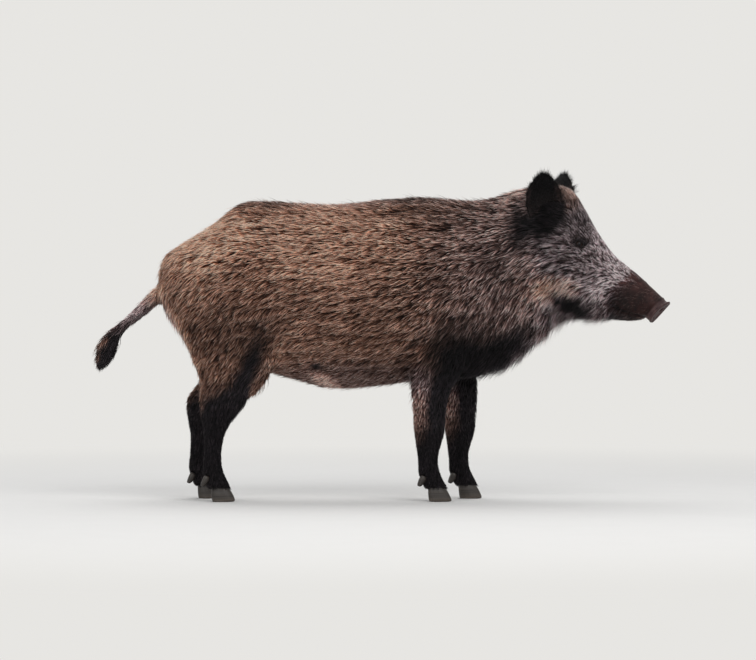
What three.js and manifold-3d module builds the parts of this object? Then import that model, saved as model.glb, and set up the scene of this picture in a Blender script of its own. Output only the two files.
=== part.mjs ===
// Wild boar, a still life-size model: a young animal standing square, its head turned a little to the right.
// Millimetres, +X towards the nose, +Y to the animal's left, +Z up, hooves on Z = 0.
// The body is one closed form, lofted over stations, joined to four lofted legs and parted by thin cuts.
import * as THREE from 'three';
import Module from 'manifold-3d';
import { mergeVertices } from 'three/addons/utils/BufferGeometryUtils.js';

const wasm = await Module();
wasm.setup();

const GAP = 0.3;
const FLATNESS = 0.16;
const SIDES = { right: -1, left: 1 };

// Beyond every part of the animal: sideways, and ahead, above and behind.
const SIDEWAYS = 500;
const FAR = 900;
const BELOW_GROUND = -60;

// Mesh density: points around a form and rings along it.
const BODY_MESH = { around: 26, along: 54 };
const LEG_MESH = { around: 12, along: 20 };
const TAIL_MESH = { around: 10, along: 14 };
const EAR_MESH = { around: 12, along: 8 };
const CLAW_MESH = { around: 12, along: 3 };
const BALL_MESH = [12, 8];
const DISC_MESH = 20;
const DEWCLAW_MESH = [8, 1];

// The head is turned to the animal's right by an even bend of the neck.
const NECK_BEND = { start: 250, end: 400, angle: THREE.MathUtils.degToRad(17) };
const BEND_RADIUS = (NECK_BEND.end - NECK_BEND.start) / Math.sin(NECK_BEND.angle);

// Body stations, rump to snout. Each is a section between a point on the top line and one on the under line,
// both [x, z]. half is its half width, wide the height of its widest place as a share of its own height,
// up and down how square it is above and below that place (2 is an ellipse).
const BODY_STATIONS = [
  { top: [-566, 572], low: [-564, 524], half: 20, wide: 0.5, up: 2, down: 2 },
  { top: [-560, 604], low: [-557, 496], half: 46, wide: 0.5, up: 2, down: 2 },
  { top: [-541, 631], low: [-543, 463], half: 76, wide: 0.5, up: 2, down: 2 },
  { top: [-505, 655], low: [-517, 428], half: 101, wide: 0.5, up: 2, down: 2.1 },
  { top: [-460, 680], low: [-470, 392], half: 119, wide: 0.51, up: 2, down: 2.2 },
  { top: [-415, 712], low: [-420, 366], half: 129, wide: 0.51, up: 1.95, down: 2.2 },
  { top: [-368, 752], low: [-370, 346], half: 133, wide: 0.5, up: 1.85, down: 2.2 },
  { top: [-320, 762], low: [-315, 332], half: 133, wide: 0.49, up: 1.85, down: 2.2 },
  { top: [-255, 760], low: [-250, 318], half: 135, wide: 0.47, up: 1.9, down: 2.2 },
  { top: [-185, 755], low: [-180, 299], half: 142, wide: 0.46, up: 1.95, down: 2.2 },
  { top: [-112, 752], low: [-110, 286], half: 152, wide: 0.45, up: 2, down: 2.2 },
  { top: [-40, 761], low: [-40, 290], half: 157, wide: 0.46, up: 1.95, down: 2.2 },
  { top: [36, 769], low: [35, 299], half: 155, wide: 0.47, up: 1.9, down: 2.2 },
  { top: [107, 772], low: [110, 306], half: 149, wide: 0.48, up: 1.8, down: 2.2 },
  { top: [175, 767], low: [175, 309], half: 140, wide: 0.49, up: 1.75, down: 2.2 },
  { top: [235, 764], low: [225, 314], half: 129, wide: 0.5, up: 1.75, down: 2.1 },
  { top: [283, 771], low: [265, 325], half: 118, wide: 0.5, up: 1.75, down: 2.1 },
  { top: [322, 783], low: [312, 345], half: 109, wide: 0.5, up: 1.8, down: 2.1 },
  { top: [363, 795], low: [365, 382], half: 102, wide: 0.5, up: 1.9, down: 2.1 },
  { top: [405, 801], low: [412, 419], half: 96, wide: 0.5, up: 2, down: 2.1 },
  { top: [444, 803], low: [448, 449], half: 92, wide: 0.47, up: 2.1, down: 2.2 },
  { top: [484, 791], low: [484, 464], half: 88, wide: 0.43, up: 1.95, down: 2.3 },
  { top: [512, 745], low: [512, 463], half: 82, wide: 0.39, up: 1.8, down: 2.3 },
  { top: [539, 697], low: [540, 461], half: 72, wide: 0.39, up: 1.75, down: 2.3 },
  { top: [564, 656], low: [566, 465], half: 60, wide: 0.4, up: 1.9, down: 2.3 },
  { top: [593, 621], low: [592, 464], half: 49, wide: 0.42, up: 2, down: 2.3 },
  { top: [627, 592], low: [619, 461], half: 42, wide: 0.45, up: 2.1, down: 2.2 },
  { top: [658, 565], low: [641, 461], half: 38, wide: 0.48, up: 2.1, down: 2.2 },
  { top: [684, 540], low: [655, 462], half: 35.5, wide: 0.5, up: 2.1, down: 2.1 },
  { top: [708, 517.5], low: [664, 464], half: 34.5, wide: 0.5, up: 2.1, down: 2.1 },
];

// Low swellings and hollows of the flanks and head: seen from the side at [x, z], spread out over reach, and
// standing out by rise on both sides.
const SWELLINGS = [
  { at: [-395, 500], reach: 105, rise: 5 },
  { at: [-255, 470], reach: 62, rise: -9 },
  { at: [190, 480], reach: 95, rise: 7 },
  { at: [115, 395], reach: 70, rise: 8 },
  { at: [330, 640], reach: 70, rise: -5 },
  { at: [462, 545], reach: 58, rise: 7 },
  { at: [512, 676], reach: 20, rise: 5 },
  { at: [514, 652], reach: 15, rise: -5 },
  { at: [560, 600], reach: 30, rise: -5 },
  { at: [628, 492], reach: 24, rise: 5 },
  { at: [688, 507], reach: 16, rise: 3 },
];

// Legs: a section at each height z, centred on [x, y] with half depths [hx, hy]. y is measured outwards.
const FORE_SECTIONS = [
  { z: 520, x: 172, hx: 40, y: 52, hy: 40 },
  { z: 465, x: 160, hx: 78, y: 66, hy: 60 },
  { z: 400, x: 150, hx: 90, y: 71, hy: 54 },
  { z: 350, x: 142, hx: 79, y: 73, hy: 45 },
  { z: 310, x: 131, hx: 61, y: 73, hy: 37 },
  { z: 280, x: 125, hx: 50, y: 73, hy: 32 },
  { z: 240, x: 122, hx: 43, y: 72, hy: 29 },
  { z: 200, x: 121, hx: 41, y: 72, hy: 28 },
  { z: 165, x: 121, hx: 38, y: 72, hy: 28 },
  { z: 138, x: 118, hx: 31, y: 72, hy: 24 },
  { z: 112, x: 117, hx: 26, y: 72, hy: 22 },
  { z: 88, x: 118, hx: 26, y: 73, hy: 22.5 },
  { z: 68, x: 121, hx: 29, y: 73, hy: 25 },
  { z: 50, x: 130, hx: 28, y: 73, hy: 26 },
  { z: 34, x: 138, hx: 29, y: 74, hy: 27 },
];
const HIND_SECTIONS = [
  { z: 545, x: -430, hx: 55, y: 50, hy: 38 },
  { z: 500, x: -430, hx: 104, y: 62, hy: 62 },
  { z: 440, x: -410, hx: 113, y: 71, hy: 58 },
  { z: 400, x: -390, hx: 107, y: 76, hy: 50 },
  { z: 362, x: -378, hx: 104, y: 78, hy: 44 },
  { z: 328, x: -371, hx: 99, y: 78, hy: 39 },
  { z: 305, x: -373, hx: 86, y: 78, hy: 36 },
  { z: 283, x: -384, hx: 76, y: 78, hy: 33 },
  { z: 262, x: -399, hx: 63, y: 78, hy: 30 },
  { z: 240, x: -405, hx: 57, y: 78, hy: 28 },
  { z: 220, x: -412, hx: 48, y: 78, hy: 26 },
  { z: 200, x: -419, hx: 38, y: 78, hy: 24 },
  { z: 180, x: -423, hx: 30, y: 78, hy: 22 },
  { z: 160, x: -425, hx: 25, y: 78, hy: 20.5 },
  { z: 125, x: -428, hx: 22.5, y: 78, hy: 20 },
  { z: 95, x: -430, hx: 24, y: 79, hy: 22 },
  { z: 72, x: -427, hx: 28, y: 79, hy: 24.5 },
  { z: 52, x: -419, hx: 28, y: 80, hy: 26 },
  { z: 34, x: -411, hx: 29, y: 80, hy: 27 },
];
// The left legs stand ahead of or behind the right ones: the whole shift below `full`, none above `none`.
const STRIDES = {
  fore: { shift: 80, full: 240, none: 430 },
  hind: { shift: -41, full: 243, none: 330 },
};

// Hooves: two main claws under each foot and two dewclaws behind the fetlock.
const CLAW = { spread: 13.6, forward: 4, toe: 0.32 };
const CLAW_RINGS = [
  { z: 0, x: 7, hx: 27, hy: 12 },
  { z: 4, x: 7, hx: 28, hy: 12.6 },
  { z: 18, x: 3, hx: 26, hy: 12.4 },
  { z: 33.7, x: -2, hx: 22, hy: 11.6 },
];
const DEWCLAW = {
  z: 52, back: 38, spread: 16, length: 25, tip: 5, radius: 9, lean: THREE.MathUtils.degToRad(24),
};

// Tail, root to tip: path points [x, z] with half widths seen from the side and from above.
const TAIL_PATH = [
  { at: [-545, 541], side: 22, across: 20 },
  { at: [-572, 521], side: 19, across: 17 },
  { at: [-612, 484], side: 16, across: 14 },
  { at: [-643, 457], side: 13.5, across: 12 },
  { at: [-668, 436], side: 13.5, across: 12 },
  { at: [-684, 415], side: 21, across: 16 },
  { at: [-699, 388], side: 26, across: 18 },
  { at: [-711, 360], side: 19, across: 13 },
  { at: [-720, 337], side: 6, across: 5 },
];
const TUFT_CUT = [[-642, 461], [-704, 499], [-900, 500], [-900, 200], [-600, 200], [-634, 409]];
const PATH_STEP = 0.05;

// Ears: cupped leaves. Widths, thickness and cup depth at shares of the length from root to tip.
const EAR = { root: [429, 58, 690], tip: [437.5, 107, 839], faceTurn: THREE.MathUtils.degToRad(30) };
const EAR_SECTIONS = [
  { share: 0, half: 28, thick: 24, cup: 10 },
  { share: 0.25, half: 43, thick: 21, cup: 18 },
  { share: 0.5, half: 51, thick: 16, cup: 21 },
  { share: 0.75, half: 43, thick: 13, cup: 16 },
  { share: 0.92, half: 28, thick: 11, cup: 8 },
  { share: 1, half: 13, thick: 8, cup: 3 },
];

const EYE = { x: 514, side: 59.5, z: 652, radius: 12 };

// Snout disc: a rimmed oval plate facing forwards and down, with two nostrils.
const DISC = {
  centre: [704, 480], tilt: THREE.MathUtils.degToRad(-41.5), thick: 19, tall: 35.5, broad: 38, room: 80,
};
const DISC_FACING = [Math.cos(DISC.tilt), Math.sin(DISC.tilt)];
const DISC_UPWARD = [-Math.sin(DISC.tilt), Math.cos(DISC.tilt)];
// Its section from the middle of its back round the rim to the middle of its face, in shares of half
// its breadth and of its thickness.
const DISC_PROFILE = [
  [0, 0], [0.89, 0], [0.87, 0.25], [0.9, 0.5], [0.98, 0.64], [1, 0.8],
  [0.94, 0.98], [0.86, 1], [0.7, 0.9], [0, 0.84],
];
const NOSTRIL = { spread: 14, up: 2, radii: [8, 9.5, 5.6] };

// Cuts seen from the side, [x, z]: what lies inside each outline is the named part.
const HEAD_CUT = [[373, 900], [390, 770], [438, 380], [900, 380], [900, 900]];
const JAW_CUT = [[720, 463], [690, 463], [650, 473], [612, 482], [580, 497], [552, 512], [486, 500],
  [462, 470], [450, 440], [450, 400], [720, 400]];
const SNOUT_CUT = [[640, 640], [626, 588], [600, 556], [573, 532], [575, 430], [800, 430], [800, 640]];
const THIGH_CUT = [[-640, 468], [-500, 482], [-420, 478], [-335, 425], [-302, 355], [-285, 305],
  [-285, -60], [-640, -60]];
const ARM_CUT = [[50, 255], [58, 330], [95, 398], [150, 428], [215, 415], [252, 362], [268, 300],
  [268, -60], [50, -60]];
const NECK_CUT = [[300, 900], [262, 290], [262, 200], [900, 200], [900, 900]];
const BARREL_CUT = [[-234, 900], [-268, 290], [-268, 200], [52, 200], [52, 290], [30, 900]];
const FLANK_CUT = [[-100, 900], [-100, 200], [-900, 200], [-900, 900]];
const LEG_JOINTS = { fore: { knee: 186, fetlock: 92 }, hind: { knee: 252, fetlock: 95 } };

const COLOURS = {
  brown: { color: 0x6b4f43, roughness: 0.82 },
  shoulder: { color: 0x513e3b, roughness: 0.82 },
  face: { color: 0x55494b, roughness: 0.8 },
  muzzle: { color: 0x2e2222, roughness: 0.62 },
  disc: { color: 0x44383a, roughness: 0.5 },
  black: { color: 0x1d1a1c, roughness: 0.85 },
  hoof: { color: 0x241f1d, roughness: 0.5 },
  eye: { color: 0x0d0908, roughness: 0.08 },
};

/** Reads a table of number rows, row `place` along it, with a smooth cubic between rows. */
function smoothTable(rows) {
  const places = rows.map((row, index) => index);
  const reader = new THREE.CubicInterpolant(places, rows.flat(), rows[0].length);
  return (place) => Array.from(reader.evaluate(place));
}

/** A capped cylinder whose vertices go where `placeOf(share, angle, radial)` says: share 0 to 1 along it. */
function morphedTube(mesh, placeOf) {
  const tube = new THREE.CylinderGeometry(1, 1, 1, mesh.around, mesh.along, false);
  const points = tube.attributes.position;
  for (let index = 0; index < points.count; index += 1) {
    const [x, y, z] = [points.getX(index), points.getY(index), points.getZ(index)];
    const placed = placeOf(0.5 - y, Math.atan2(x, z), Math.hypot(x, z));
    points.setXYZ(index, placed.x, placed.y, placed.z);
  }
  return solidOf(tube);
}

/** A manifold from a closed three.js geometry. */
function solidOf(geometry) {
  geometry.deleteAttribute('normal');
  geometry.deleteAttribute('uv');
  const merged = mergeVertices(geometry, 1e-3);
  const vertProperties = Float32Array.from(merged.attributes.position.array);
  const triVerts = Uint32Array.from(merged.index.array);
  return new wasm.Manifold(new wasm.Mesh({ numProp: 3, vertProperties, triVerts }));
}

/** The power that keeps a sign, for rounded-square sections. */
function signedPower(value, power) {
  return Math.sign(value) * Math.abs(value) ** power;
}

/** Turns a point of the straight animal with the neck's bend. */
function turned(x, y, z) {
  const sine = THREE.MathUtils.clamp((x - NECK_BEND.start) / BEND_RADIUS, 0, Math.sin(NECK_BEND.angle));
  const angle = Math.asin(sine);
  const beyond = Math.max(x - NECK_BEND.end, 0) * Math.tan(angle);
  const middle = -BEND_RADIUS * (1 - Math.cos(angle)) - beyond;
  return new THREE.Vector3(x + y * Math.sin(angle), middle + y * Math.cos(angle), z);
}

/** How far the swellings move the surface outwards at a place seen from the side. */
function swellingAt(x, z) {
  const rises = SWELLINGS.map(({ at, reach, rise }) => {
    const distance = Math.hypot(x - at[0], z - at[1]) / reach;
    return rise * Math.exp(-distance * distance);
  });
  return rises.reduce((sum, rise) => sum + rise, 0);
}

/** Trunk, neck and head as one form. */
function bodyForm(grow = 0) {
  const table = smoothTable(BODY_STATIONS.map(({ top, low, half, wide, up, down }) => [
    ...top, ...low, half, wide, up, down]));
  return morphedTube(BODY_MESH, (share, angle, radial) => {
    const station = share * (BODY_STATIONS.length - 1);
    const [topX, topZ, lowX, lowZ, half, wide, up, down] = table(station);
    const above = Math.cos(angle) >= 0;
    const power = 2 / (above ? up : down);
    const rise = signedPower(Math.cos(angle), power) * (above ? 1 - wide : wide);
    const height = wide + radial * rise;
    const x = THREE.MathUtils.lerp(lowX, topX, height);
    const z = THREE.MathUtils.lerp(lowZ, topZ, height) + grow * radial * Math.cos(angle);
    const side = signedPower(Math.sin(angle), power);
    const y = radial * (side * (half + grow) + Math.sin(angle) * swellingAt(x, z));
    return turned(x, y, z);
  });
}

/** One leg down to the coronet, of the given end and side. */
function legForm(end, side) {
  const sections = end === 'fore' ? FORE_SECTIONS : HIND_SECTIONS;
  const table = smoothTable(sections.map(({ z, x, hx, y, hy }) => [z, x, hx, y, hy]));
  return morphedTube(LEG_MESH, (share, angle, radial) => {
    const [z, x, hx, y, hy] = table(share * (sections.length - 1));
    const forward = x + strideAt(end, side, z) + radial * hx * Math.sin(angle);
    return new THREE.Vector3(forward, side * y - radial * hy * Math.cos(angle), z);
  });
}

/** How far a leg's section at a height is moved along the body, for the left legs. */
function strideAt(end, side, z) {
  const { shift, full, none } = STRIDES[end];
  return side === SIDES.left ? shift * (1 - THREE.MathUtils.smoothstep(z, full, none)) : 0;
}

/** Tail with its tuft, rings square to the path. */
function tailForm() {
  const table = smoothTable(TAIL_PATH.map(({ at, side, across }) => [...at, side, across]));
  const last = TAIL_PATH.length - 1;
  return morphedTube(TAIL_MESH, (share, angle, radial) => {
    const [x, z, side, across] = table(share * last);
    const [nextX, nextZ] = table(Math.min(share * last + PATH_STEP, last));
    const [priorX, priorZ] = table(Math.max(share * last - PATH_STEP, 0));
    const along = new THREE.Vector3(nextX - priorX, 0, nextZ - priorZ).normalize();
    const up = radial * side * Math.cos(angle);
    return new THREE.Vector3(x - along.z * up, radial * across * Math.sin(angle), z + along.x * up);
  });
}

/** One cupped ear on the straight head, then turned with it. */
function earForm(side) {
  const root = new THREE.Vector3(EAR.root[0], side * EAR.root[1], EAR.root[2]);
  const tip = new THREE.Vector3(EAR.tip[0], side * EAR.tip[1], EAR.tip[2]);
  const along = tip.clone().sub(root).normalize();
  const open = new THREE.Vector3(Math.sin(EAR.faceTurn), side * Math.cos(EAR.faceTurn), 0);
  open.addScaledVector(along, -open.dot(along)).normalize();
  const across = along.clone().cross(open).multiplyScalar(side);
  const table = smoothTable(EAR_SECTIONS.map((section) => [
    section.share, section.half, section.thick, section.cup]));
  return morphedTube(EAR_MESH, (share, angle, radial) => {
    const [place, half, thick, cup] = table(share * (EAR_SECTIONS.length - 1));
    const depth = radial * (0.5 * thick * Math.cos(angle)) - cup * (1 - (radial * Math.sin(angle)) ** 2);
    const point = root.clone().lerp(tip, place);
    point.addScaledVector(across, -side * radial * half * Math.sin(angle)).addScaledVector(open, depth);
    return turned(point.x, point.y, point.z);
  });
}

/** One main claw with its flat sole on the floor. */
function clawForm(x, y) {
  const table = smoothTable(CLAW_RINGS.map((ring) => [ring.z, ring.x, ring.hx, ring.hy]));
  return morphedTube(CLAW_MESH, (share, angle, radial) => {
    const [z, shift, hx, hy] = table((1 - share) * (CLAW_RINGS.length - 1));
    const toe = 1 - CLAW.toe * Math.max(Math.sin(angle), 0) ** 2;
    const forward = x + shift + radial * hx * Math.sin(angle);
    return new THREE.Vector3(forward, y - radial * hy * toe * Math.cos(angle), z);
  });
}

/** One dewclaw: a blunt cone leaning back behind the fetlock. */
function dewclawForm(x, y, grow = 0) {
  const [root, tip, length] = [DEWCLAW.radius + grow, DEWCLAW.tip + grow, DEWCLAW.length + 2 * grow];
  const cone = new THREE.CylinderGeometry(root, tip, length, ...DEWCLAW_MESH);
  cone.rotateX(Math.PI / 2);
  cone.rotateY(DEWCLAW.lean);
  cone.translate(x, y, DEWCLAW.z);
  return solidOf(cone);
}

/** The snout's disc with its rim and nostrils, before the head's turn. */
function discForm() {
  const { thick, tall, broad } = DISC;
  const profile = DISC_PROFILE.map(([out, ahead]) => new THREE.Vector2(out * broad, ahead * thick));
  const plate = new THREE.LatheGeometry(profile, DISC_MESH);
  plate.scale(1, 1, tall / broad);
  let disc = solidOf(plate);
  for (const side of Object.values(SIDES)) {
    const hole = new THREE.SphereGeometry(1, ...BALL_MESH);
    hole.scale(...NOSTRIL.radii);
    hole.translate(side * NOSTRIL.spread, thick, NOSTRIL.up);
    disc = disc.subtract(solidOf(hole));
  }
  const facing = new THREE.Vector3(DISC_FACING[0], 0, DISC_FACING[1]);
  const upward = new THREE.Vector3(DISC_UPWARD[0], 0, DISC_UPWARD[1]);
  const place = new THREE.Matrix4().makeBasis(new THREE.Vector3(0, -1, 0), facing, upward);
  const [x, z] = besideDisc(0, 0);
  place.setPosition(x, 0, z);
  return moved(disc, place);
}

/** A place by the disc seen from the side, [x, z]: so far ahead of the middle of its back, so far up. */
function besideDisc(ahead, up) {
  return DISC.centre.map((middle, axis) => (
    middle + DISC_FACING[axis] * (ahead - DISC.thick) + DISC_UPWARD[axis] * up));
}

/** A manifold moved by a matrix, then turned with the head. */
function moved(form, matrix) {
  const geometry = geometryOf(form);
  geometry.applyMatrix4(matrix);
  const points = geometry.attributes.position;
  for (let index = 0; index < points.count; index += 1) {
    const placed = turned(points.getX(index), points.getY(index), points.getZ(index));
    points.setXYZ(index, placed.x, placed.y, placed.z);
  }
  return solidOf(geometry);
}

/** An eyeball, or the socket for one when it is grown. */
function eyeForm(side, grow = 0) {
  const ball = new THREE.SphereGeometry(EYE.radius + grow, ...BALL_MESH);
  const place = turned(EYE.x, side * EYE.side, EYE.z);
  ball.rotateX(Math.PI / 2);
  ball.translate(place.x, place.y, place.z);
  return solidOf(ball);
}

/** A side-view outline moved outwards by a distance, or inwards by a negative one. */
function offsetOutline(outline, distance) {
  const points = outline.map(([x, z]) => new THREE.Vector2(x, z));
  const turn = Math.sign(THREE.ShapeUtils.area(points));
  return points.map((point, index) => {
    const before = points[(index + points.length - 1) % points.length];
    const after = points[(index + 1) % points.length];
    const first = point.clone().sub(before).normalize();
    const second = after.clone().sub(point).normalize();
    const normal = new THREE.Vector2(first.y + second.y, -first.x - second.x);
    return point.clone().addScaledVector(normal, (turn * distance) / (1 + first.dot(second)));
  });
}

/** A prism over a side-view outline, from one y to another. */
function prism(outline, distance, from = -SIDEWAYS, to = SIDEWAYS) {
  const shape = new THREE.Shape(offsetOutline(outline, distance));
  const block = new THREE.ExtrudeGeometry(shape, { depth: to - from, bevelEnabled: false });
  block.rotateX(Math.PI / 2);
  block.translate(0, to, 0);
  return solidOf(block);
}

/** What lies inside an outline and what lies outside it, a gap apart. */
function parted(form, outline, from, to) {
  const inside = form.intersect(prism(outline, -GAP / 2, from, to));
  const outside = form.subtract(prism(outline, GAP / 2, from, to));
  return [inside, outside];
}

/** The box outline below a height. */
function below(height) {
  return [[-FAR, height], [FAR, height], [FAR, BELOW_GROUND], [-FAR, BELOW_GROUND]];
}

/** A three.js geometry from a manifold. */
function geometryOf(form) {
  const mesh = form.getMesh();
  const geometry = new THREE.BufferGeometry();
  geometry.setAttribute('position', new THREE.BufferAttribute(Float32Array.from(mesh.vertProperties), 3));
  geometry.setIndex(Array.from(mesh.triVerts));
  return geometry;
}

const boar = new THREE.Group();
boar.name = 'boar';

/** Adds one named mesh of the animal. */
function addPart(name, form, colour) {
  const geometry = geometryOf(form.asOriginal().simplify(FLATNESS));
  geometry.computeVertexNormals();
  const material = new THREE.MeshStandardMaterial({ ...COLOURS[colour], metalness: 0 });
  const mesh = new THREE.Mesh(geometry, material);
  mesh.name = name;
  boar.add(mesh);
}

/** Adds the claws and dewclaws of one foot and returns the foot cut clear of the dewclaws. */
function addHooves(name, foot, end, side) {
  const sections = end === 'fore' ? FORE_SECTIONS : HIND_SECTIONS;
  const coronet = sections.at(-1);
  const stride = strideAt(end, side, 0);
  let cleared = foot;
  for (const [label, away] of Object.entries({ inner: -1, outer: 1 })) {
    const clawY = side * coronet.y + side * away * CLAW.spread;
    addPart(`${name}_claw_${label}`, clawForm(coronet.x + stride + CLAW.forward, clawY), 'hoof');
    const dewX = coronet.x + stride - DEWCLAW.back;
    const dewY = side * coronet.y + side * away * DEWCLAW.spread;
    cleared = cleared.subtract(dewclawForm(dewX, dewY, GAP));
    addPart(`${name}_dewclaw_${label}`, dewclawForm(dewX, dewY), 'hoof');
  }
  return cleared;
}

// The whole flesh, its head end trimmed square behind the disc.
const discOutline = [
  besideDisc(-GAP, -DISC.room), besideDisc(-GAP, DISC.room), besideDisc(DISC.room, DISC.room),
  besideDisc(DISC.room, -DISC.room),
];
const discRoom = moved(prism(discOutline, 0), new THREE.Matrix4());
let flesh = bodyForm().subtract(discRoom);
for (const end of Object.keys(STRIDES)) {
  for (const side of Object.values(SIDES)) {
    flesh = flesh.add(legForm(end, side));
  }
}

// Limbs come off first, then the head, the neck and the three lengths of the trunk.
for (const [end, outline] of Object.entries({ fore: ARM_CUT, hind: THIGH_CUT })) {
  const [upperName, colour] = end === 'fore' ? ['forearm', 'black'] : ['thigh', 'brown'];
  for (const [sideName, side] of Object.entries(SIDES)) {
    const [from, to] = side === SIDES.right ? [-SIDEWAYS, -GAP / 2] : [GAP / 2, SIDEWAYS];
    const limb = flesh.intersect(prism(outline, -GAP / 2, from, to));
    const [shank, upper] = parted(limb, below(LEG_JOINTS[end].knee));
    const [foot, cannon] = parted(shank, below(LEG_JOINTS[end].fetlock));
    const name = `${end}_${sideName}`;
    addPart(`${name}_${upperName}`, upper, colour);
    addPart(`${name}_cannon`, cannon, 'black');
    addPart(`${name}_pastern`, addHooves(name, foot, end, side), 'black');
  }
}
const limbless = flesh.subtract(prism(ARM_CUT, GAP / 2)).subtract(prism(THIGH_CUT, GAP / 2));
const [wholeHead, headless] = parted(limbless, HEAD_CUT);
const [neck, trunk] = parted(headless, NECK_CUT);
const [barrel, trunkEnds] = parted(trunk, BARREL_CUT);
const [hindquarters, forequarters] = parted(trunkEnds, FLANK_CUT);

let socketedHead = wholeHead;
for (const [sideName, side] of Object.entries(SIDES)) {
  socketedHead = socketedHead.subtract(eyeForm(side, GAP));
  addPart(`eye_${sideName}`, eyeForm(side), 'eye');
  addPart(`ear_${sideName}`, earForm(side).subtract(bodyForm(GAP)), 'black');
}
const [jaw, upperHead] = parted(socketedHead, JAW_CUT);
const [snout, face] = parted(upperHead, SNOUT_CUT);
const tail = tailForm().subtract(bodyForm(GAP)).subtract(bodyForm(GAP).translate([-GAP, 0, -GAP]));
const [tuft, dock] = parted(tail, TUFT_CUT);

addPart('head', face, 'face');
addPart('lower_jaw', jaw, 'face');
addPart('snout', snout, 'muzzle');
addPart('snout_disc', discForm(), 'disc');
addPart('neck', neck, 'shoulder');
addPart('forequarters', forequarters, 'shoulder');
addPart('barrel', barrel, 'brown');
addPart('hindquarters', hindquarters, 'brown');
addPart('tail_dock', dock, 'brown');
addPart('tail_tuft', tuft, 'black');

// The origin is the middle of the footprint's box.
const middle = new THREE.Box3().setFromObject(boar).getCenter(new THREE.Vector3());
for (const part of boar.children) {
  part.position.set(-middle.x, -middle.y, 0);
}

export default boar;
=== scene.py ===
"""A wild boar as a still, life-size museum model: skin, coat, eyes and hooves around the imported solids.

Metres, +X towards the nose, +Y to the animal's left, +Z up, hooves on Z = 0. Places on the body are named on
the straight, square animal: x along it and z up, before the neck's turn and the left legs' stride.
"""

import logging
import math
from collections.abc import Callable, Iterator, Sequence
from contextlib import contextmanager
from dataclasses import dataclass
from enum import Enum

import bpy
import numpy as np
from bpy.types import Material, Mesh, Node, NodeSocket, Object
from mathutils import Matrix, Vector
from mathutils.bvhtree import BVHTree
from mathutils.kdtree import KDTree


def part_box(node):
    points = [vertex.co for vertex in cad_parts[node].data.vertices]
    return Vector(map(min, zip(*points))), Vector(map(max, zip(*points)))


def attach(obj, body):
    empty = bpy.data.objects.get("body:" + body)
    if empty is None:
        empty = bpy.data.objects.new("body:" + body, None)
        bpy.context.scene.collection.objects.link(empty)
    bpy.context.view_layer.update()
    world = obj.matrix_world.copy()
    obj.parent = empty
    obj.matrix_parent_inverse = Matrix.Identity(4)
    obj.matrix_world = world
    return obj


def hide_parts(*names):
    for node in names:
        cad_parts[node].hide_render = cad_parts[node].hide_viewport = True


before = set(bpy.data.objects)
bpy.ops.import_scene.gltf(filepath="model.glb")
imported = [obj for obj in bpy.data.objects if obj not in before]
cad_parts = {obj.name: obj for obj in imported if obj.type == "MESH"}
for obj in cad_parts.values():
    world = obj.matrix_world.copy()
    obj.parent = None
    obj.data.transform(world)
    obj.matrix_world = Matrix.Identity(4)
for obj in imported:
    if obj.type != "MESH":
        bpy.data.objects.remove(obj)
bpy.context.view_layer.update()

LOG = logging.getLogger("boar")
MM = 0.001
Array = np.ndarray
Triple = tuple[float, float, float]
Colour = Triple

FLESH = [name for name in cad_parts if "claw" not in name and not name.startswith("eye")]
CLAWS = [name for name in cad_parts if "claw" in name]


class Side(Enum):
    """The animal's sides, by the sign of y."""

    RIGHT = -1
    BOTH = 0
    LEFT = 1


# ---- small numeric helpers


def smoothstep(low: float, high: float, value: Array) -> Array:
    """Rises smoothly from 0 at low to 1 at high.

    Args:
        low: where the rise starts.
        high: where it ends; it may be below low.
        value: what is tested.

    Returns:
        The share, 0 to 1, for each value.
    """
    share = np.clip((value - low) / (high - low), 0.0, 1.0)
    return share * share * (3.0 - 2.0 * share)


def unit(vectors: Array) -> Array:
    """The vectors at length 1."""
    return vectors / np.maximum(np.linalg.norm(vectors, axis=-1, keepdims=True), 1e-12)


def dot(first: Array, second: Array) -> Array:
    """Row by row dot product, kept as a column."""
    return np.sum(first * second, axis=-1, keepdims=True)


def hill(rise: float, *spreads: tuple[Array, float, float]) -> Array:
    """A soft round hill.

    Args:
        rise: its height, below 0 for a hollow.
        spreads: for each way across it the places, its middle and its half width.

    Returns:
        Its height at each place.
    """
    return rise * np.exp(-sum(((places - middle) / width) ** 2 for places, middle, width in spreads))


def waves(points: Array, size: Triple, seed: int) -> Array:
    """A smooth field of hills and hollows, made of sine waves in many directions.

    Args:
        points: places, one row each.
        size: the length of its hills along each axis.
        seed: which field it is.

    Returns:
        About -1 to 1 for each point.
    """
    rng = np.random.default_rng(seed)
    scaled = points / np.array(size)
    total = np.zeros(len(points))
    for _ in range(9):
        direction = unit(rng.normal(size=3)) * rng.uniform(0.7, 1.9)
        total += np.sin(scaled @ direction * math.pi + rng.uniform(0, 2 * math.pi))
    return np.clip(total / 3.2, -1.0, 1.0)


def path_distance(places: Array, path: tuple[tuple[float, float], ...]) -> Array:
    """How far each place is from a path seen from the side.

    Args:
        places: x and z of each place.
        path: the path's corners.

    Returns:
        The least distance to the path.
    """
    corners = np.array(path)
    best = np.full(len(places), np.inf)
    for start, end in zip(corners[:-1], corners[1:]):
        run = end - start
        share = np.clip((places - start) @ run / (run @ run), 0, 1)
        best = np.minimum(best, np.linalg.norm(places - start - share[:, None] * run, axis=1))
    return best


# ---- the animal's own coordinates


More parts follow.
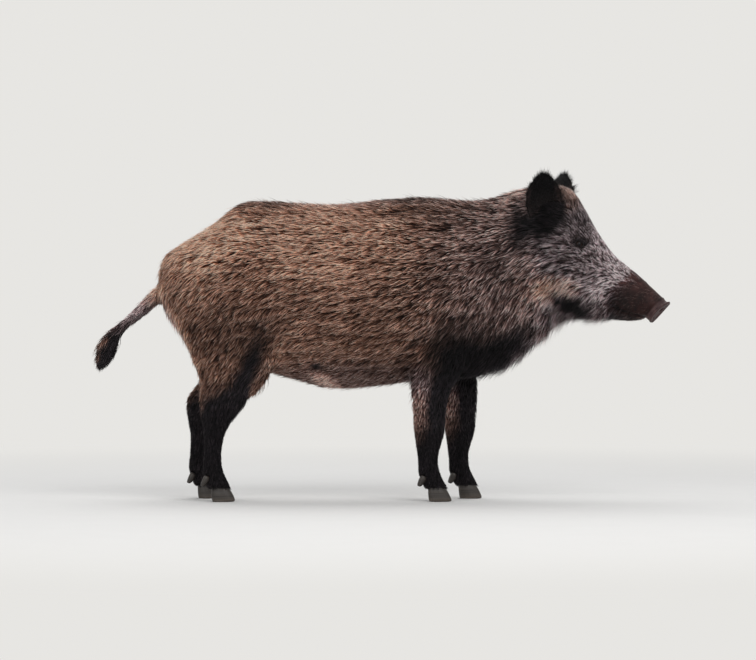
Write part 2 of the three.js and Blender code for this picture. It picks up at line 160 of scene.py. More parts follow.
@dataclass(frozen=True)
class Posture:
    """The neck's even bend to the right and the stride of the left legs.

    Args:
        start, end: where along the body the bend starts and ends.
        angle: how far the head is turned.
        fore, hind: the left legs' shift, the height up to which it is whole, and that above which it is gone.
        waist: where the forelegs' share of the body ends.
    """

    start: float = 0.2502
    end: float = 0.4002
    angle: float = math.radians(17)
    fore: Triple = (0.080, 0.240, 0.430)
    hind: Triple = (-0.041, 0.243, 0.330)
    waist: float = -0.1

    @property
    def radius(self) -> float:
        """The bend's radius."""
        return (self.end - self.start) / math.sin(self.angle)

    def turn_at(self, along: Array) -> Array:
        """How far the body is turned at each place along it."""
        return np.arcsin(np.clip((along - self.start) / self.radius, 0, math.sin(self.angle)))

    def middle_at(self, along: Array) -> Array:
        """How far sideways the body's middle lies at each place along it."""
        turn = self.turn_at(along)
        return -self.radius * (1 - np.cos(turn)) - np.maximum(along - self.end, 0) * np.tan(turn)

    def straight(self, points: Array) -> Array:
        """Takes the neck's bend back.

        Args:
            points: places on the posed animal.

        Returns:
            The same places on the straight animal.
        """
        along, side = points[:, 0].copy(), points[:, 1].copy()
        for _ in range(5):
            turn = self.turn_at(along)
            side = (points[:, 1] - self.middle_at(along)) / np.cos(turn)
            along = points[:, 0] - side * np.sin(turn)
        return np.stack([along, side, points[:, 2]], axis=1)

    def placed(self, points: Array) -> Array:
        """Puts the neck's bend in.

        Args:
            points: places on the straight animal.

        Returns:
            The same places on the posed one.
        """
        along, side, up = points.T
        turn = self.turn_at(along)
        across = self.middle_at(along) + side * np.cos(turn)
        return np.stack([along + side * np.sin(turn), across, up], axis=1)

    def turned(self, directions: Array, along: Array) -> Array:
        """Turns directions as the neck's bend does.

        Args:
            directions: directions on the straight animal.
            along: where along the body each one is.

        Returns:
            The same directions on the posed animal.
        """
        sine, cosine = np.sin(self.turn_at(along)), np.cos(self.turn_at(along))
        x, y, z = directions.T
        return np.stack([x * cosine + y * sine, y * cosine - x * sine, z], axis=1)

    def square(self, straight: Array, leg: Array) -> Array:
        """Places as they are seen from the right, with the left side's mirrored onto it.

        Args:
            straight: the places on the straight animal.
            leg: which of them are on a leg.

        Returns:
            The places with the head's turn put in and the left legs' stride taken back.
        """
        result = straight.copy()
        result[:, 0] -= np.abs(straight[:, 1]) * np.sin(self.turn_at(straight[:, 0]))
        front = straight[:, 0] > self.waist
        for (shift, full, none), end in ((self.fore, front), (self.hind, ~front)):
            share = 1 - smoothstep(full, none, straight[:, 2])
            result[:, 0] -= shift * share * (end & leg & (straight[:, 1] > 0))
        return result


POSTURE = Posture()


# ---- lie of the coat


#: How the hair lies at places seen from the side: x and z, where it points in degrees from forwards through
#: upwards, how long it is and how far its tips stand over the skin. Lengths are in millimetres.
COAT_LIE = (
    # top line, rump to withers
    (-540, 620, 218, 26, 8), (-480, 662, 204, 30, 9), (-420, 705, 196, 32, 9.5), (-345, 752, 184, 33, 9.5),
    (-250, 757, 182, 35, 9.5), (-100, 750, 182, 35, 9.5), (40, 764, 184, 36, 9.5), (150, 767, 186, 36, 9.5),
    (240, 760, 188, 35, 9.5), (330, 776, 187, 32, 9), (400, 796, 185, 26, 7),
    # flank
    (-230, 650, 191, 32, 9.5), (-100, 650, 191, 32, 9.5), (40, 655, 193, 32, 9.5),
    (-200, 540, 198, 32, 9.5), (-60, 530, 196, 32, 9.5), (60, 530, 199, 32, 9.5), (-180, 430, 203, 32, 9.5),
    (-60, 410, 200, 32, 9.5), (40, 400, 201, 30, 9), (-200, 325, 192, 26, 8), (-160, 344, 196, 17, 6),
    (-142, 322, 205, 22, 8), (-100, 300, 188, 26, 8), (-10, 305, 188, 26, 8), (60, 325, 196, 26, 8),
    # shoulder
    (160, 660, 198, 32, 9.5), (170, 580, 207, 32, 9.5), (170, 480, 224, 32, 9), (95, 440, 214, 29, 9),
    (150, 380, 240, 26, 7), (230, 400, 236, 29, 9), (245, 660, 202, 32, 9.5), (250, 560, 222, 32, 9.5),
    # neck and chest
    (330, 710, 198, 30, 9.5), (335, 620, 218, 32, 9.5), (335, 510, 234, 33, 9.5), (325, 420, 234, 33, 9.5),
    (268, 345, 232, 30, 9.5), (395, 730, 190, 24, 7), (392, 650, 203, 26, 7), (400, 560, 224, 27, 8),
    (395, 470, 232, 30, 9), (395, 430, 226, 32, 9.5),
    # rump and thigh
    (-360, 700, 184, 32, 9.5), (-400, 630, 203, 30, 9.5), (-480, 590, 218, 29, 9), (-550, 545, 232, 26, 8),
    (-330, 560, 208, 30, 9.5), (-430, 490, 232, 29, 9), (-520, 440, 240, 27, 9), (-400, 390, 238, 26, 8),
    (-300, 450, 224, 29, 9), (-290, 370, 222, 23, 7), (-400, 310, 243, 22, 7), (-470, 340, 246, 21, 7),
    (-400, 240, 250, 17, 4.5),
    # hock to hind hoof
    (-430, 180, 262, 12, 3), (-430, 110, 266, 11, 2.8), (-424, 70, 264, 11, 2.6), (-411, 38, 258, 10, 2),
    # foreleg
    (125, 320, 248, 19, 5.5), (122, 250, 262, 16, 4), (120, 170, 267, 12, 3), (118, 100, 268, 11, 2.8),
    (124, 65, 264, 11, 2.6), (138, 38, 258, 10, 2),
    # tail
    (-590, 504, 223, 24, 5), (-636, 462, 223, 24, 4.5), (-662, 440, 226, 34, 6), (-690, 410, 236, 40, 9),
    (-708, 376, 244, 28, 9), (-719, 348, 248, 15, 6),
    # head
    (455, 800, 160, 18, 6), (430, 700, 172, 19, 5.5), (520, 735, 127, 13, 4), (495, 700, 142, 13, 4),
    (497, 672, 150, 10, 2.4), (508, 645, 158, 9, 2.2), (505, 612, 168, 12, 3.5), (560, 655, 130, 9, 2.8),
    (600, 608, 138, 8, 2.2), (632, 575, 142, 6, 1.4), (588, 550, 168, 10, 2.6), (525, 565, 198, 16, 4.5),
    (460, 625, 192, 18, 5.5), (445, 560, 222, 24, 7), (568, 520, 226, 17, 4.5), (572, 495, 236, 20, 5),
    (540, 500, 226, 16, 4.5), (520, 464, 232, 28, 9), (556, 462, 243, 26, 9), (582, 468, 240, 18, 5),
    (460, 500, 228, 28, 8), (450, 460, 226, 34, 11), (605, 464, 226, 8, 2.2), (600, 530, 196, 6, 1),
    (640, 520, 196, 5, 0.8), (680, 500, 204, 4, 0.5),
)


@dataclass(frozen=True)
class Locks:
    """What the coat does at many places at once.

    Args:
        direction: where the hair points on the posed animal, before it is laid onto the skin.
        fall: the same on the straight animal.
        length: its length.
        height: the height of its tips.
    """

    direction: Array
    fall: Array
    length: Array
    height: Array


@dataclass(frozen=True)
class LieOfCoat:
    """Reads the table of lies anywhere on the body, and the ears' own.

    Args:
        reach: within this distance a row of the table rules.
        fade: the power of the distance by which a row's weight falls off.
        ear_length: the ears' hair at their root, and how much longer it is at the tip and at the rim.
        ear_height: how far its tips stand, and how much further they do at the rim.
    """

    reach: float = 0.022
    fade: float = 4.4
    ear_length: Triple = (0.007, 0.003, 0.004)
    ear_height: tuple[float, float] = (0.0028, 0.0012)

    def blended(self, square: Array) -> Array:
        """Blends the table's rows.

        Args:
            square: places as they are seen from the right.

        Returns:
            The cosine and sine of the hair's angle, its length and its height at each place.
        """
        rows = np.array(COAT_LIE, dtype=float)
        places = rows[:, :2] * MM
        angle = np.radians(rows[:, 2])
        facts = np.stack([np.cos(angle), np.sin(angle), rows[:, 3] * MM, rows[:, 4] * MM], axis=1)
        gap = ((square[:, None, [0, 2]] - places) ** 2).sum(axis=2)
        weight = 1 / (gap + self.reach**2) ** (self.fade / 2)
        return (weight @ facts) / weight.sum(axis=1, keepdims=True)

    def at(self, straight: Array, leg: Array, ear: Array) -> Locks:
        """The coat's lie at many places.

        Args:
            straight: the places on the straight animal.
            leg: which of them are on a leg.
            ear: which of them are on an ear.

        Returns:
            Direction on the posed animal, length and height.
        """
        facts = self.blended(POSTURE.square(straight, leg))
        fall = np.stack([facts[:, 0], np.zeros(len(facts)), facts[:, 1]], axis=1)
        share, rim, fan = EARS.at(straight)
        fall[ear] = fan[ear]
        least, at_tip, at_rim = self.ear_length
        length = np.where(ear, least + at_tip * share + at_rim * rim, facts[:, 2])
        height = np.where(ear, self.ear_height[0] + self.ear_height[1] * rim, facts[:, 3])
        return Locks(POSTURE.turned(fall, straight[:, 0]), fall, length, height)


@dataclass(frozen=True)
class Ears:
    """Where the ears stand on the straight animal, for the hair that fans out from their middle line.

    Args:
        root, tip: the ends of the right ear's middle line, with y measured outwards.
        half: half the ear's width.
        face_turn: how far its open side is turned forwards.
    """

    root: Triple = (0.4292, 0.058, 0.690)
    tip: Triple = (0.4377, 0.107, 0.839)
    half: float = 0.045
    face_turn: float = math.radians(30)

    def at(self, straight: Array) -> tuple[Array, Array, Array]:
        """Reads the ear's own lie.

        Args:
            straight: places on the straight animal.

        Returns:
            The share of the ear's height, how near the rim, and where the hair points.
        """
        side = np.ones_like(straight)
        side[straight[:, 1] < 0, 1] = -1.0
        run = np.array(self.tip) - np.array(self.root)
        along = unit(run * side)
        opening = np.array([math.sin(self.face_turn), math.cos(self.face_turn), 0.0]) * side
        across = unit(np.cross(along, opening))
        gap = straight - np.array(self.root) * side
        length = np.linalg.norm(run)
        share = np.clip(dot(gap, along)[:, 0] / length, 0, 1)
        off = np.clip(dot(gap, across)[:, 0] / self.half, -1.1, 1.1)
        rim = np.maximum(smoothstep(0.55, 1.0, np.abs(off)), smoothstep(0.78, 1.0, share))
        fan = unit(along + across * (off * (0.95 - 0.40 * share))[:, None])
        return share, rim, fan


LIE = LieOfCoat()
EARS = Ears()
#: the height above which the ears' skin has the ears' own hair
EAR_HAIR = 0.704


# ---- markings, and painted light and shade


class Mark(Enum):
    """What a marking changes: how black the hair is, how grey, how light, and how much of it hangs loose,
    painted shade and light included.
    """

    BLACK = 0
    GREY = 1
    LIGHT = 2
    LOOSE = 3


@dataclass(frozen=True)
class Patch:
    """A soft-edged oval on both sides of the animal: a marking, and in some rows painted light and shade.

    Args:
        x, z: its middle, in millimetres.
        wide, tall: its half sizes, in millimetres.
        amount: how much it changes the mark.
        tilt: how far its long way is turned, in degrees.
        soft: the share of its size over which it fades.
    """

    x: float
    z: float
    wide: float
    tall: float
    amount: float
    tilt: float = 0.0
    soft: float = 0.6

    def at(self, square: Array) -> Array:
        """Reads the patch.

        Args:
            square: places as they are seen from the right.

        Returns:
            Its amount at each place.
        """
        tilt = math.radians(self.tilt)
        across, up = square[:, 0] - self.x * MM, square[:, 2] - self.z * MM
        first = (across * math.cos(tilt) + up * math.sin(tilt)) / (self.wide * MM)
        second = (up * math.cos(tilt) - across * math.sin(tilt)) / (self.tall * MM)
        return self.amount * smoothstep(1 + self.soft, 1 - self.soft, np.hypot(first, second))


def patches(*rows: tuple[float, ...]) -> tuple[Patch, ...]:
    """The patches that the rows describe."""
    return tuple(Patch(*row) for row in rows)


PATCHES = {
    Mark.BLACK: patches(
        # legs, chest and arm
        (205, 310, 100, 82, 1.0, 30), (312, 392, 92, 34, 1.0, 37), (180, 410, 78, 55, 0.5),
        (125, 95, 120, 190, 1.0, 0, 0.35), (-420, 50, 150, 190, 1.0, 0, 0.45),
        (-350, 300, 28, 112, 0.95, -19, 0.7), (-392, 235, 60, 60, 0.8, 0, 0.8),
        (-304, 290, 22, 40, -0.8, -38), (98, 262, 25, 76, -0.8, -6, 0.9), (-476, 292, 16, 36, -0.5, 20),
        # head
        # (404, 694): black under the ear's root, partly dark hair, partly painted shade
        (350, 692, 22, 58, 0.85), (474, 497, 66, 19, 1.0, -32, 0.4), (404, 694, 38, 32, 0.9),
        (424, 722, 44, 28, 1.0), (430, 750, 32, 36, 1.0, -8, 0.35), (498, 656, 19, 11, 0.9, -14),
        (655, 500, 66, 56, 0.85, -30, 0.5),
        # trunk
        # (-162, 345): painted shade, near-black hair in the hollow before the sheath
        (-300, 425, 26, 80, 0.3, -24, 0.8), (-162, 345, 15, 11, 0.95, 0, 0.5),
        # tail
        (-684, 386, 20, 66, 0.95, -30, 0.5), (-706, 376, 26, 60, 0.5, -24, 0.6),
    ),
    Mark.GREY: patches(
        # legs, chest and arm
        (98, 266, 40, 76, 0.45), (340, 370, 60, 24, 0.9, 32),
        # head
        (560, 600, 170, 240, 0.95, 0, 0.6), (446, 540, 58, 34, -0.85), (470, 770, 36, 40, -0.6),
        (375, 560, 44, 80, -0.3), (660, 500, 60, 56, -0.8, -30, 0.5),
        # neck and shoulder
        (330, 560, 190, 330, 0.6, 0, 0.75),
        # trunk
        (-60, 310, 240, 45, 0.45), (-120, 758, 300, 18, 0.3), (-516, 400, 16, 80, 0.6, 24),
        # tail
        (-640, 465, 80, 60, 0.95),
    ),
    Mark.LIGHT: patches(
        # legs, chest and arm
        # (98, 266): lighter down the foreleg, partly grey hair, partly painted light on its lit side; (70,
        # 395): thin dark line along the elbow fold, painted shade
        (98, 266, 26, 76, 1.3, -6), (100, 384, 11, 42, 1.2, -22), (70, 395, 28, 7, -1.3, 34),
        (372, 400, 60, 16, 0.2, 34), (190, 330, 90, 90, 0.4),
        # head
        (592, 604, 66, 28, 1.8, -48), (570, 554, 48, 20, 2.4, 20), (550, 500, 24, 50, 1.1, 8),
        (442, 541, 50, 25, 3.5, 14), (405, 495, 48, 60, 0.8), (499, 655, 29, 18, -1.8),
        (500, 690, 40, 34, -0.35), (480, 735, 60, 50, -1.2, -40), (474, 786, 30, 8, 0.5, -30),
        # (386, 698): darker behind the ear's root, partly painted shade
        (386, 698, 60, 60, -1.4), (462, 606, 44, 36, -0.45), (400, 612, 30, 50, 0.4),
        # (660, 556): lighter band along the bare muzzle's top edge, a painted highlight
        (484, 500, 66, 24, -1.6, -30), (616, 498, 46, 32, -1.0, 6), (660, 556, 50, 14, 0.6, -48),
        # neck and shoulder
        (130, 460, 170, 170, -0.5), (320, 600, 60, 70, -0.5), (330, 748, 90, 40, 0.3),
        (190, 390, 100, 60, -1.5, 20), (320, 400, 90, 30, -0.8, 37), (130, 740, 120, 40, -0.65),
        # trunk
        # (-425, 655): lighter top of the rump, painted light falling from above and behind
        (-425, 655, 110, 60, 1.8, 30), (-400, 600, 150, 120, 0.4, 25), (-514, 408, 18, 90, 2.5, 24),
        (-130, 650, 190, 100, 1.05), (-470, 690, 60, 30, 0.5, 40), (-310, 764, 95, 18, -1.5, -2),
        # (60, 782) and (-300, 775): a thin lighter line along the top of the back, painted rim light
        (40, 768, 150, 15, -1.2), (60, 782, 340, 6, 1.2), (-300, 775, 90, 5, 0.9),
        (-380, 430, 90, 70, -1.15), (-20, 330, 110, 36, -0.35), (-80, 330, 260, 60, -0.4),
        (-138, 311, 38, 12, 3.0, -26), (-262, 360, 14, 50, 0.7, -15),
        # tail
        (-622, 490, 96, 12, 2.0, 40), (-612, 462, 60, 22, -0.9, 40),
    ),
    Mark.LOOSE: patches(
        (558, 468, 36, 14, 0.45), (440, 450, 70, 14, 0.3, 15), (335, 356, 105, 24, 0.35, 35),
        (80, 300, 18, 60, 0.2), (-150, 318, 40, 16, 0.2), (-300, 300, 24, 50, 0.2), (390, 806, 50, 14, 0.2),
        (620, 474, 40, 10, 0.10),
    ),
}


@dataclass(frozen=True)
class Markings:
    """The animal's markings, with some painted light and shade among them, which the skin and the coat share.

    Args:
        bare_heights, bare_starts: heights, and where along the head the bare muzzle starts there, in
            millimetres.
    """

    bare_heights: tuple[float, ...] = (430, 462, 480, 512, 534, 556, 580, 620)
    bare_starts: tuple[float, ...] = (588, 582, 574, 578, 584, 602, 636, 660)

    def at(self, straight: Array, leg: Array, ear: Array) -> Array:
        """Black, grey, light and loose at each place.

        Args:
            straight: the places on the straight animal.
            leg: which of them are on a leg.
            ear: which of them are on an ear.

        Returns:
            One row of four numbers for each place.
        """
        square = POSTURE.square(straight, leg)
        marks = np.zeros((len(square), len(Mark)))
        for mark, ovals in PATCHES.items():
            for oval in ovals:
                marks[:, mark.value] += oval.at(square)
        share, rim, _ = EARS.at(straight)
        inner = smoothstep(0.75, 0.2, share) * (1 - rim)
        # the ears are black, a little less so inside; their rim is less black and lighter, a painted rim
        # highlight
        marks[ear, Mark.BLACK.value] = (1.0 - 0.3 * rim * (share < 0.8) - 0.35 * inner)[ear]
        marks[ear, Mark.LIGHT.value] = (-3.2 + 1.5 * rim)[ear]
        marks[ear, Mark.LOOSE.value] = (0.30 * rim)[ear]
        marks[:, :2] = np.clip(marks[:, :2], 0, 1)
        return marks

    def bare(self, straight: Array) -> Array:
        """How bare the muzzle is.

        Args:
            straight: places on the straight animal.

        Returns:
            0 in the hair to 1 on bare skin for each place.
        """
        seen = POSTURE.square(straight, np.zeros(len(straight), dtype=bool))
        start = np.interp(seen[:, 2] / MM, self.bare_heights, self.bare_starts) * MM
        ragged = 0.006 * waves(straight, (0.030, 0.030, 0.016), 8)
        return smoothstep(-0.013, 0.013, seen[:, 0] - start + ragged)


MARKINGS = Markings()


# ---- materials


class Graph:
    """Builds the nodes of one material, or of the world."""

    def __init__(self, name: str, kind: str = "materials") -> None:
        """Starts an empty material or world.

        Args:
            name: its name.
            kind: where Blender keeps it, "materials" or "worlds".
        """
        self.material = getattr(bpy.data, kind).new(name)
        self.material.use_nodes = True
        self.tree = self.material.node_tree
        self.tree.nodes.clear()

    def add(self, kind: str, inputs: dict | None = None, **settings: object) -> Node:
        """Adds a node.

        Args:
            kind: its type, without the word ShaderNode.
            inputs: what goes into its sockets, by name or number: an output or a value.
            settings: its own settings.

        Returns:
            The node.
        """
        node = self.tree.nodes.new("ShaderNode" + kind)
        for key, value in settings.items():
            setattr(node, key, value)
        for key, value in (inputs or {}).items():
            if isinstance(value, NodeSocket):
                self.tree.links.new(value, node.inputs[key])
            else:
                node.inputs[key].default_value = value
        return node

    def mix(self, share: object, first: object, second: object) -> NodeSocket:
        """Mixes two colours.

        Args:
            share: 0 for the first one, 1 for the second.
            first, second: colours or outputs.

        Returns:
            The mixed colour.
        """
        pair = [(*value, 1.0) if isinstance(value, tuple) else value for value in (first, second)]
        return self.add("Mix", {0: share, 6: pair[0], 7: pair[1]}, data_type="RGBA").outputs[2]

    def calc(self, kind: str, first: object, second: object = 0.0, third: object = 0.0) -> NodeSocket:
        """A Math node's result."""
        return self.add("Math", {0: first, 1: second, 2: third}, operation=kind).outputs[0]

    def scaled(self, colour: NodeSocket, strength: NodeSocket) -> NodeSocket:
        """A colour made so many times as bright."""
        return self.add("VectorMath", {0: colour, "Scale": strength}, operation="SCALE").outputs[0]

    def ramp(self, value: NodeSocket, stops: tuple[tuple[float, Colour], ...]) -> NodeSocket:
        """Reads a colour ramp.

        Args:
            value: where it is read.
            stops: its places and their colours.

        Returns:
            The colour.
        """
        node = self.add("ValToRGB", {0: value})
        for _ in stops[2:]:
            node.color_ramp.elements.new(0.5)
        for element, (place, colour) in zip(node.color_ramp.elements, stops):
            element.position = place
            element.color = (*colour, 1.0)
        return node.outputs[0]

    def parts(self, name: str) -> tuple[NodeSocket, ...]:
        """The three numbers of an attribute."""
        vector = self.add("Attribute", attribute_name=name).outputs["Vector"]
        return tuple(self.add("SeparateXYZ", {0: vector}).outputs)

    def pattern(self, kind: str, scale: float, stretch: Triple = (1, 1, 1), **inputs: float) -> Node:
        """Adds a texture on the object's own coordinates.

        Args:
            kind: its type, without the word Tex.
            scale: how often it repeats in a metre.
            stretch: how much more often it does so along each axis.
            inputs: its other sockets.

        Returns:
            The texture's node.
        """
        place = self.add("TexCoord").outputs["Object"]
        mapping = self.add("Mapping", {"Vector": place, "Scale": stretch}).outputs[0]
        sockets = {key.capitalize(): value for key, value in inputs.items()}
        return self.add("Tex" + kind, {"Vector": mapping, "Scale": scale, **sockets})

    def bump(self, height: NodeSocket, depth: float, before: object = None) -> NodeSocket:
        """Adds a bump.

        Args:
            height: its pattern.
            depth: its depth in metres.
            before: the bump that it lies over.

        Returns:
            The bent normal.
        """
        under = {} if before is None else {"Normal": before}
        return self.add("Bump", {"Height": height, "Distance": depth, "Strength": 1.0, **under}).outputs[0]

    def seen(self) -> NodeSocket:
        """Tells a look at the backdrop from its light.

        Returns:
            1 where it is looked at, straight, in a reflection or through something clear.
        """
        rays = self.add("LightPath").outputs
        straight = self.calc("MAXIMUM", rays["Is Camera Ray"], rays["Is Glossy Ray"])
        return self.calc("MAXIMUM", straight, rays["Is Transmission Ray"])

    def finish(self, shader: Node) -> Material:
        """Joins the shader to the output."""
        self.add("OutputMaterial", {"Surface": shader.outputs[0]})
        return self.material

    def principled(self, inputs: dict) -> Material:
        """Finishes the material with a Principled shader that has those inputs."""
        return self.finish(self.add("BsdfPrincipled", inputs))


@dataclass(frozen=True)
class Palette:
    """One kind of bristle.

    Args:
        root, shaft, band, tip: its colours from root to tip.
    """

    root: Colour
    shaft: Colour
    band: Colour
    tip: Colour


@dataclass(frozen=True)
class CoatFinish:
    """Bristles: dark at the root and pale at the tip, brown, grey or black as the markings say.

    Args:
        name: the material's name.
        brown, grey, black: the kinds of bristle.
        places: where on a bristle its four colours lie.
        offset: the mean change of brightness, in powers of 2.
        speckle: how much the grain changes it.
        palest_brown, palest_grey: the lightest that a bristle gets.
    """

    name: str = "bristles"
    brown: Palette = Palette(
        (0.014, 0.004, 0.002), (0.092, 0.034, 0.018), (0.37, 0.195, 0.134), (0.70, 0.50, 0.42))
    grey: Palette = Palette(
        (0.008, 0.004, 0.005), (0.045, 0.026, 0.028), (0.225, 0.160, 0.165), (0.62, 0.54, 0.55))
    black: Palette = Palette(
        (0.003, 0.003, 0.004), (0.0080, 0.0066, 0.0085), (0.020, 0.016, 0.019), (0.050, 0.040, 0.043))
    places: tuple[float, ...] = (0.0, 0.38, 0.70, 1.0)
    offset: float = -0.72
    speckle: float = 1.8
    palest_brown: Colour = (0.92, 0.70, 0.55)
    palest_grey: Colour = (0.95, 0.88, 0.87)

    def material(self) -> Material:
        """Makes the bristles' nodes, which read strand (along, tone) and marks (black, grey, light), black
        and light with painted shade and light among them.

        Returns:
            The material.
        """
        graph = Graph(self.name)
        along, tone, _ = graph.parts("strand")
        # black and light carry painted shade and painted light as well as the hair's own colour
        black, grey, light = graph.parts("marks")
        place = graph.calc("MULTIPLY_ADD", tone, 0.10, along)
        brown, silver, dark = (
            graph.ramp(place, tuple(zip(self.places, (kind.root, kind.shaft, kind.band, kind.tip))))
            for kind in (self.brown, self.grey, self.black)
        )
        coat = graph.mix(black, graph.mix(grey, brown, silver), dark)
        speck = graph.pattern("Noise", 420, detail=2.0).outputs["Fac"]
        shade = graph.calc("ADD", tone, graph.calc("MULTIPLY_ADD", speck, self.speckle, self.offset))
        lit = graph.scaled(coat, graph.calc("POWER", 2.0, graph.calc("ADD", light, shade)))
        palest = graph.mix(grey, self.palest_brown, self.palest_grey)
        colour = graph.add("VectorMath", {0: lit, 1: palest}, operation="MINIMUM").outputs[0]
        rough = graph.calc("MULTIPLY_ADD", speck, 0.25, 0.42)
        return graph.principled({"Base Color": colour, "Roughness": rough, "Specular IOR Level": 0.20})


@dataclass(frozen=True)
class SkinFinish:
    """Dark hide under the coat, bare moist muzzle and snout disc, and painted shade in the mouth's slit, the
    nostrils and the eyes' openings.

    Args:
        name: the material's name.
        under_brown, under_black: the hide under brown and black hair.
        muzzle, muzzle_light, disc, disc_light: the dark and light blotches of muzzle and disc.
        hollow_shade: painted shade, near black, in the mouth's slit, the nostrils and the eyes' openings.
    """

    name: str = "hide"
    under_brown: Colour = (0.018, 0.010, 0.008)
    under_black: Colour = (0.004, 0.0035, 0.004)
    muzzle: Colour = (0.0080, 0.0028, 0.0026)
    muzzle_light: Colour = (0.042, 0.016, 0.014)
    disc: Colour = (0.030, 0.017, 0.018)
    disc_light: Colour = (0.095, 0.055, 0.052)
    # painted shade, near black, for the mouth's slit, the nostrils and the eyes' openings
    hollow_shade: Colour = (0.002, 0.0015, 0.0015)

    def material(self) -> Material:
        """Makes the skin's nodes, which read marks and bare (muzzle, disc, cavity, the painted shade of
        mouth, nostrils and eyes' openings).

        Returns:
            The material.
        """
        graph = Graph(self.name)
        # light carries the painted highlight along the muzzle's top edge as well as its tone
        black, _, light = graph.parts("marks")
        bare, disc, hollow_shade = graph.parts("bare")
        blotch = graph.pattern("Noise", 55, detail=4.0, roughness=0.65).outputs["Fac"]
        grain = graph.pattern("Voronoi", 620).outputs["Distance"]
        creases = graph.pattern("Noise", 150, (1.0, 1.0, 0.35), detail=5.0, roughness=0.7).outputs["Fac"]
        under = graph.mix(black, self.under_brown, self.under_black)
        patchy = graph.ramp(blotch, ((0.35, self.muzzle), (0.68, self.muzzle_light)))
        toned = graph.scaled(patchy, graph.calc("POWER", 2.0, light))
        muzzle = graph.mix(graph.calc("MULTIPLY", grain, 0.55), toned, self.muzzle)
        plate = graph.ramp(blotch, ((0.3, self.disc), (0.7, self.disc_light)))
        # the cavity share lays painted shade over the mouth's slit, the nostrils and the eyes' openings
        colour = graph.mix(hollow_shade, graph.mix(disc, graph.mix(bare, under, muzzle), plate), self.hollow_shade)
        moist = graph.ramp(creases, ((0.3, (0.34,) * 3), (0.7, (0.62,) * 3)))
        return graph.principled({
            "Base Color": colour, "Specular IOR Level": 0.12,
            "Roughness": graph.mix(bare, (0.85,) * 3, moist),
            "Normal": graph.bump(creases, 0.0014, graph.bump(grain, 0.00035))})


@dataclass(frozen=True)
class HornFinish:
    """Dark worn horn of the hooves, ringed across and paler at the ground.

    Args:
        name: the material's name.
        dark, pale: fresh and worn horn.
    """

    name: str = "horn"
    dark: Colour = (0.016, 0.012, 0.010)
    pale: Colour = (0.085, 0.066, 0.052)

    def material(self) -> Material:
        """Makes the nodes.

        Returns:
            The material.
        """
        graph = Graph(self.name)
        rings = graph.pattern("Noise", 60, (0.25, 0.25, 6.0), detail=4.0).outputs["Fac"]
        fibres = graph.pattern("Noise", 700, (1.0, 1.0, 0.12), detail=3.0).outputs["Fac"]
        height = graph.add("SeparateXYZ", {0: graph.add("TexCoord").outputs["Object"]}).outputs["Z"]
        worn = graph.add("MapRange", {0: height, 1: 0.014, 2: 0.0, 3: 0.0, 4: 0.75}).outputs[0]
        share = graph.calc("ADD", graph.calc("MULTIPLY", rings, 0.55), graph.calc("MULTIPLY", worn, fibres))
        return graph.principled({
            "Base Color": graph.ramp(share, ((0.2, self.dark), (0.8, self.pale))),
            "Roughness": graph.calc("MULTIPLY_ADD", fibres, 0.35, 0.3), "Specular IOR Level": 0.45,
            "Normal": graph.bump(rings, 0.0009, graph.bump(fibres, 0.0003))})


@dataclass(frozen=True)
class EyeFinish:
    """Dark brown iris behind a wet cornea.

    Args:
        name: the material's name.
        pupil, iris, rim, white: the eye's colours from its middle outwards.
    """

    name: str = "eye_wet"
    pupil: Colour = (0.002, 0.002, 0.002)
    iris: Colour = (0.012, 0.005, 0.003)
    rim: Colour = (0.006, 0.003, 0.003)
    white: Colour = (0.020, 0.013, 0.012)

    def material(self) -> Material:
        """Makes the eye's nodes, which read gaze: the place across the eye in shares of its radius.

        Returns:
            The material.
        """
        graph = Graph(self.name)
        gaze = graph.add("Attribute", attribute_name="gaze").outputs["Vector"]
        across, up, _ = graph.parts("gaze")
        far = graph.calc("SQRT", graph.calc("MULTIPLY_ADD", across, across, graph.calc("MULTIPLY", up, up)))
        streak = graph.add("TexNoise", {"Vector": gaze, "Scale": 9.0, "Detail": 4.0}).outputs["Fac"]
        wavy = graph.calc("MULTIPLY_ADD", streak, 0.10, graph.calc("SUBTRACT", far, 0.05))
        colour = graph.ramp(wavy, (
            (0.0, self.pupil), (0.27, self.pupil), (0.32, self.rim), (0.45, self.iris), (0.60, self.iris),
            (0.68, self.rim), (0.76, self.white)))
        return graph.principled({
            "Base Color": colour, "Roughness": 0.2, "Specular IOR Level": 0.06, "Coat Weight": 0.34,
            "Coat Roughness": 0.03, "Coat IOR": 1.36})


@dataclass(frozen=True)
class LidFinish:
    """Black moist skin of the lid margins.

    Args:
        name: the material's name.
        colour, pale: the skin and its grain.
    """

    name: str = "lid_margin"
    colour: Colour = (0.010, 0.008, 0.008)
    pale: Colour = (0.045, 0.032, 0.028)

    def material(self) -> Material:
        """Makes the nodes.

        Returns:
            The material.
        """
        graph = Graph(self.name)
        grain = graph.pattern("Noise", 900, detail=3.0).outputs["Fac"]
        colour = graph.ramp(grain, ((0.35, self.colour), (0.75, self.pale)))
        return graph.principled({
            "Base Color": colour, "Roughness": graph.calc("MULTIPLY_ADD", grain, 0.3, 0.22),
            "Specular IOR Level": 0.5, "Normal": graph.bump(grain, 0.0002)})


# ---- meshes


def numbers(items: bpy.types.bpy_prop_collection, name: str, width: int, kind: type = np.float32) -> Array:
    """Reads one property of many mesh items.

    Args:
        items: vertices, normals, loops or edges.
        name: the property.
        width: how many numbers it has.
        kind: their type.

    Returns:
        One row for each item.
    """
    flat = np.empty(len(items) * width, dtype=kind)
    items.foreach_get(name, flat)
    return flat.reshape(-1, width)


def coordinates(piece: Object) -> Array:
    """The places of a piece's vertices, one row each."""
    return numbers(piece.data.vertices, "co", 3).astype(float)


